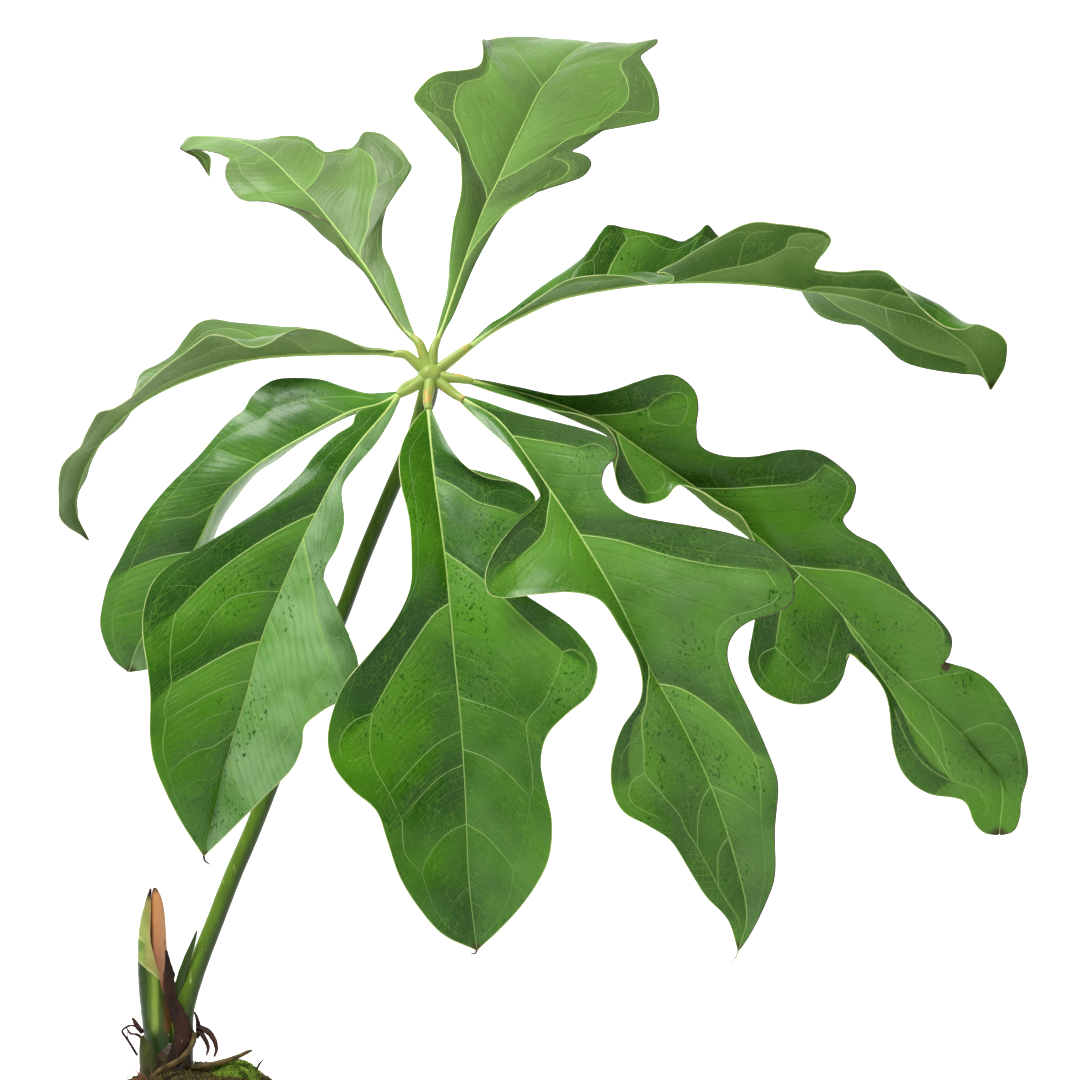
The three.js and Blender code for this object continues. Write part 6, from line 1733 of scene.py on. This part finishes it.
@dataclass(frozen=True)
class YoungFinish:
    """The young rolled sheath: orange above, pinkish brown below, paler on its right."""

    name: str

    def material(self) -> Look:
        """Build the material."""
        g = Graph(self.name)
        place = g.place()
        x, z = g.axis(place, 0), g.axis(place, 2)
        streaks = g.noise(place, 420, 4, 0.6, (1, 1, 0.1))
        dots = g.ramp(g.noise(place, 520, 1), 0.68, 0.73)
        color = g.coats(
            srgb(150, 88, 68),
            (g.ramp(z, 0.225, 0.282), srgb(196, 136, 82)),
            (g.ramp(x, -0.029, -0.0245, 0.0, 0.5), srgb(222, 172, 130)),
            (g.ramp(x, -0.0305, -0.0335, 0.0, 0.8), srgb(128, 70, 42)),
            (g.ramp(streaks, 0.42, 0.72, 0.0, 0.3), srgb(186, 120, 80)),
            (g.times(dots, 0.5), srgb(150, 84, 50)),
            (g.ramp(z, 0.2895, 0.2935, 0.0, 0.9), srgb(48, 28, 20)),
        )
        flesh = {"Subsurface_Weight": 0.1, "Subsurface_Scale": 0.002}
        return g.finish(color, 0.4, g.math("ADD", streaks, dots), 0.0002, **flesh)


@dataclass(frozen=True)
class PlainFinish:
    """A material of two colours in noise, with streaks and a bump.

    Attributes:
        name: Name of the material.
        first: Colour of the low patches.
        second: Colour of the high patches.
        roughness: Roughness of the surface.
        scale: Noise scale per metre.
        depth: Bump depth in metres.
        stretch: How the noise is stretched along Z.
        speck: Colour of scattered specks.
        specks: Share of the surface with specks.
    """

    name: str
    first: Color
    second: Color
    roughness: float
    scale: float
    depth: float
    stretch: float = 1.0
    speck: Color = (0.5, 0.5, 0.5, 1.0)
    specks: float = 0.0

    def material(self) -> Look:
        """Build the material."""
        g = Graph(self.name)
        place = g.stretch(g.place(), (1, 1, self.stretch))
        coarse, fine = g.noise(place, self.scale, 4), g.noise(place, self.scale * 7, 4, 0.65)
        color = g.coats(
            self.first,
            (g.ramp(coarse, 0.32, 0.68), self.second),
            (g.ramp(fine, 0.4, 0.75, 0.0, 0.35), self.first),
            (g.ramp(g.noise(place, self.scale * 4, 2), 0.66, 0.72, 0.0, self.specks), self.speck),
        )
        height = g.math("ADD", coarse, g.times(fine, 0.7))
        return g.finish(color, self.roughness, height, self.depth, Specular_IOR_Level=0.25)


UPPER = BladeFinish(
    "blade_upper", dark=srgb(20, 68, 0), light=srgb(74, 134, 12), line=srgb(128, 174, 54),
    sheen=srgb(100, 154, 50), roughness=0.33, wet=0.85,
)
LOWER = BladeFinish(
    "blade_lower", dark=srgb(48, 92, 12), light=srgb(102, 140, 56), line=srgb(146, 172, 96),
    sheen=srgb(120, 154, 82), roughness=0.56, back=True,
)
MARGIN = MarginFinish("blade_margin", srgb(196, 208, 134), srgb(150, 178, 96), srgb(66, 44, 34))
VEIN = VeinFinish("vein")
STALK = StalkFinish("petiole_skin")
PAPERY = PlainFinish(
    "papery_skin", srgb(24, 14, 8), srgb(64, 36, 22), 0.7, 120, 0.0006, 0.3, srgb(170, 140, 110), 0.3
)
OLIVE = PlainFinish("olive_skin", srgb(30, 36, 8), srgb(80, 84, 28), 0.5, 90, 0.0003, 0.4)
ROOT = PlainFinish("root_skin", srgb(58, 46, 24), srgb(112, 92, 48), 0.6, 160, 0.0005)
CROWN_FINISHES = {
    "sheath": SheathFinish("sheath_skin"),
    "papery": PAPERY,
    "olive": OLIVE,
    "young": YoungFinish("young_skin"),
    "root": ROOT,
}
SOIL_FINISHES = [
    PlainFinish(
        "soil_crumb", srgb(40, 30, 18), srgb(88, 70, 40), 0.95, 140, 0.002, 1.0, srgb(104, 108, 44), 0.5
    ),
    PlainFinish("old_moss", srgb(74, 70, 30), srgb(138, 128, 60), 0.9, 180, 0.001),
    PlainFinish("rootlet", srgb(116, 72, 48), srgb(168, 116, 86), 0.8, 200, 0.0003),
]
MOSS = PlainFinish("moss_green", srgb(48, 82, 10), srgb(158, 186, 62), 0.85, 220, 0.001)
CLAY = PlainFinish(
    "fired_clay", srgb(160, 84, 54), srgb(186, 108, 74), 0.85, 30, 0.0004, 1.0, srgb(212, 178, 152), 0.4
)

CAMERA_PLACE = (0.219, -2.0, 0.52)
CAMERA_LENS, CAMERA_WIDTH = 102.56, 36.0
WORLD_STRENGTH = 0.2
LIGHTS = {
    "key": ((-0.75, -0.7, 2.5), (0.15, 0.0, 0.55), 1.1, 74),
    "fill": ((1.6, -1.6, 1.0), (0.1, 0.0, 0.55), 1.6, 9),
}


@dataclass
class Studio:
    """White sweep, soft light from above and to the left, and the level camera."""

    def build(self) -> None:
        """Make the backdrop, the lights and the camera."""
        self.sweep()
        for name, (place, aim, size, power) in LIGHTS.items():
            lamp = bpy.data.lights.new(name, "AREA")
            lamp.size, lamp.energy = size, power
            way = np.array(aim) - np.array(place)
            pitch = math.atan2(math.hypot(way[0], way[1]), -way[2])
            self.hold(name, lamp, place, (pitch, 0, math.atan2(-way[0], way[1])))
        world = bpy.data.worlds.new("studio")
        world.use_nodes = True
        sky = world.node_tree.nodes["Background"].inputs
        sky["Color"].default_value, sky["Strength"].default_value = (1, 1, 1, 1), WORLD_STRENGTH
        bpy.context.scene.world = world
        bpy.context.scene.view_settings.view_transform = "Standard"
        lens = bpy.data.cameras.new("camera")
        lens.lens, lens.sensor_width = CAMERA_LENS, CAMERA_WIDTH
        lens.clip_start, lens.clip_end = 0.05, 50.0
        bpy.context.scene.camera = self.hold("camera", lens, CAMERA_PLACE, (math.pi / 2, 0, 0))

    @staticmethod
    def hold(name: str, data: bpy.types.ID, place: tuple, turn: tuple = (0, 0, 0)) -> bpy.types.Object:
        """Put a lamp, a camera or a mesh in the scene."""
        holder = bpy.data.objects.new(name, data)
        holder.location, holder.rotation_euler = place, turn
        bpy.context.scene.collection.objects.link(holder)
        return holder

    def sweep(self) -> None:
        """Pale floor that curves up into a backdrop."""
        turn = np.linspace(0, math.pi / 2, 24)
        y = np.concatenate([[-4.0], 1.6 + 1.2 * np.sin(turn), [2.8]])
        z = np.concatenate([[0.0], 1.2 - 1.2 * np.cos(turn), [6.0]])
        points = np.stack([np.tile([-5.0, 5.0], len(y)), np.repeat(y, 2), np.repeat(z, 2)], axis=1)
        base = np.arange(len(y) - 1) * 2
        mesh = bpy.data.meshes.new("sweep")
        mesh.from_pydata(points.tolist(), [], np.stack([base, base + 1, base + 3, base + 2], axis=1).tolist())
        mesh.shade_smooth()
        g = Graph("paper_white")
        glow = g.ramp(g.axis(g.place(), 1), 0.3, 1.0, 0.1, 0.95)
        shine = {"Emission_Color": (1, 1, 1, 1), "Emission_Strength": glow}
        mesh.materials.append(g.finish((0.94, 0.94, 0.94, 1.0), 0.95, **shine))
        self.hold("sweep", mesh, (0, 0, 0))


def main() -> None:
    """Build every piece and the studio."""
    logging.basicConfig(level=logging.INFO, format="%(message)s")
    blade, vein = [UPPER.material(), LOWER.material(), MARGIN.material()], VEIN.material()
    for name, plan in PLANS.items():
        Leaflet(name, plan).build(blade, vein)
    Petiole().build(STALK.material())
    Crown({slot: finish.material() for slot, finish in CROWN_FINISHES.items()}).build()
    ClayPot().build(CLAY.material())
    Mound().build([finish.material() for finish in SOIL_FINISHES], MOSS.material())
    Studio().build()


if __name__ == "__main__":
    main()
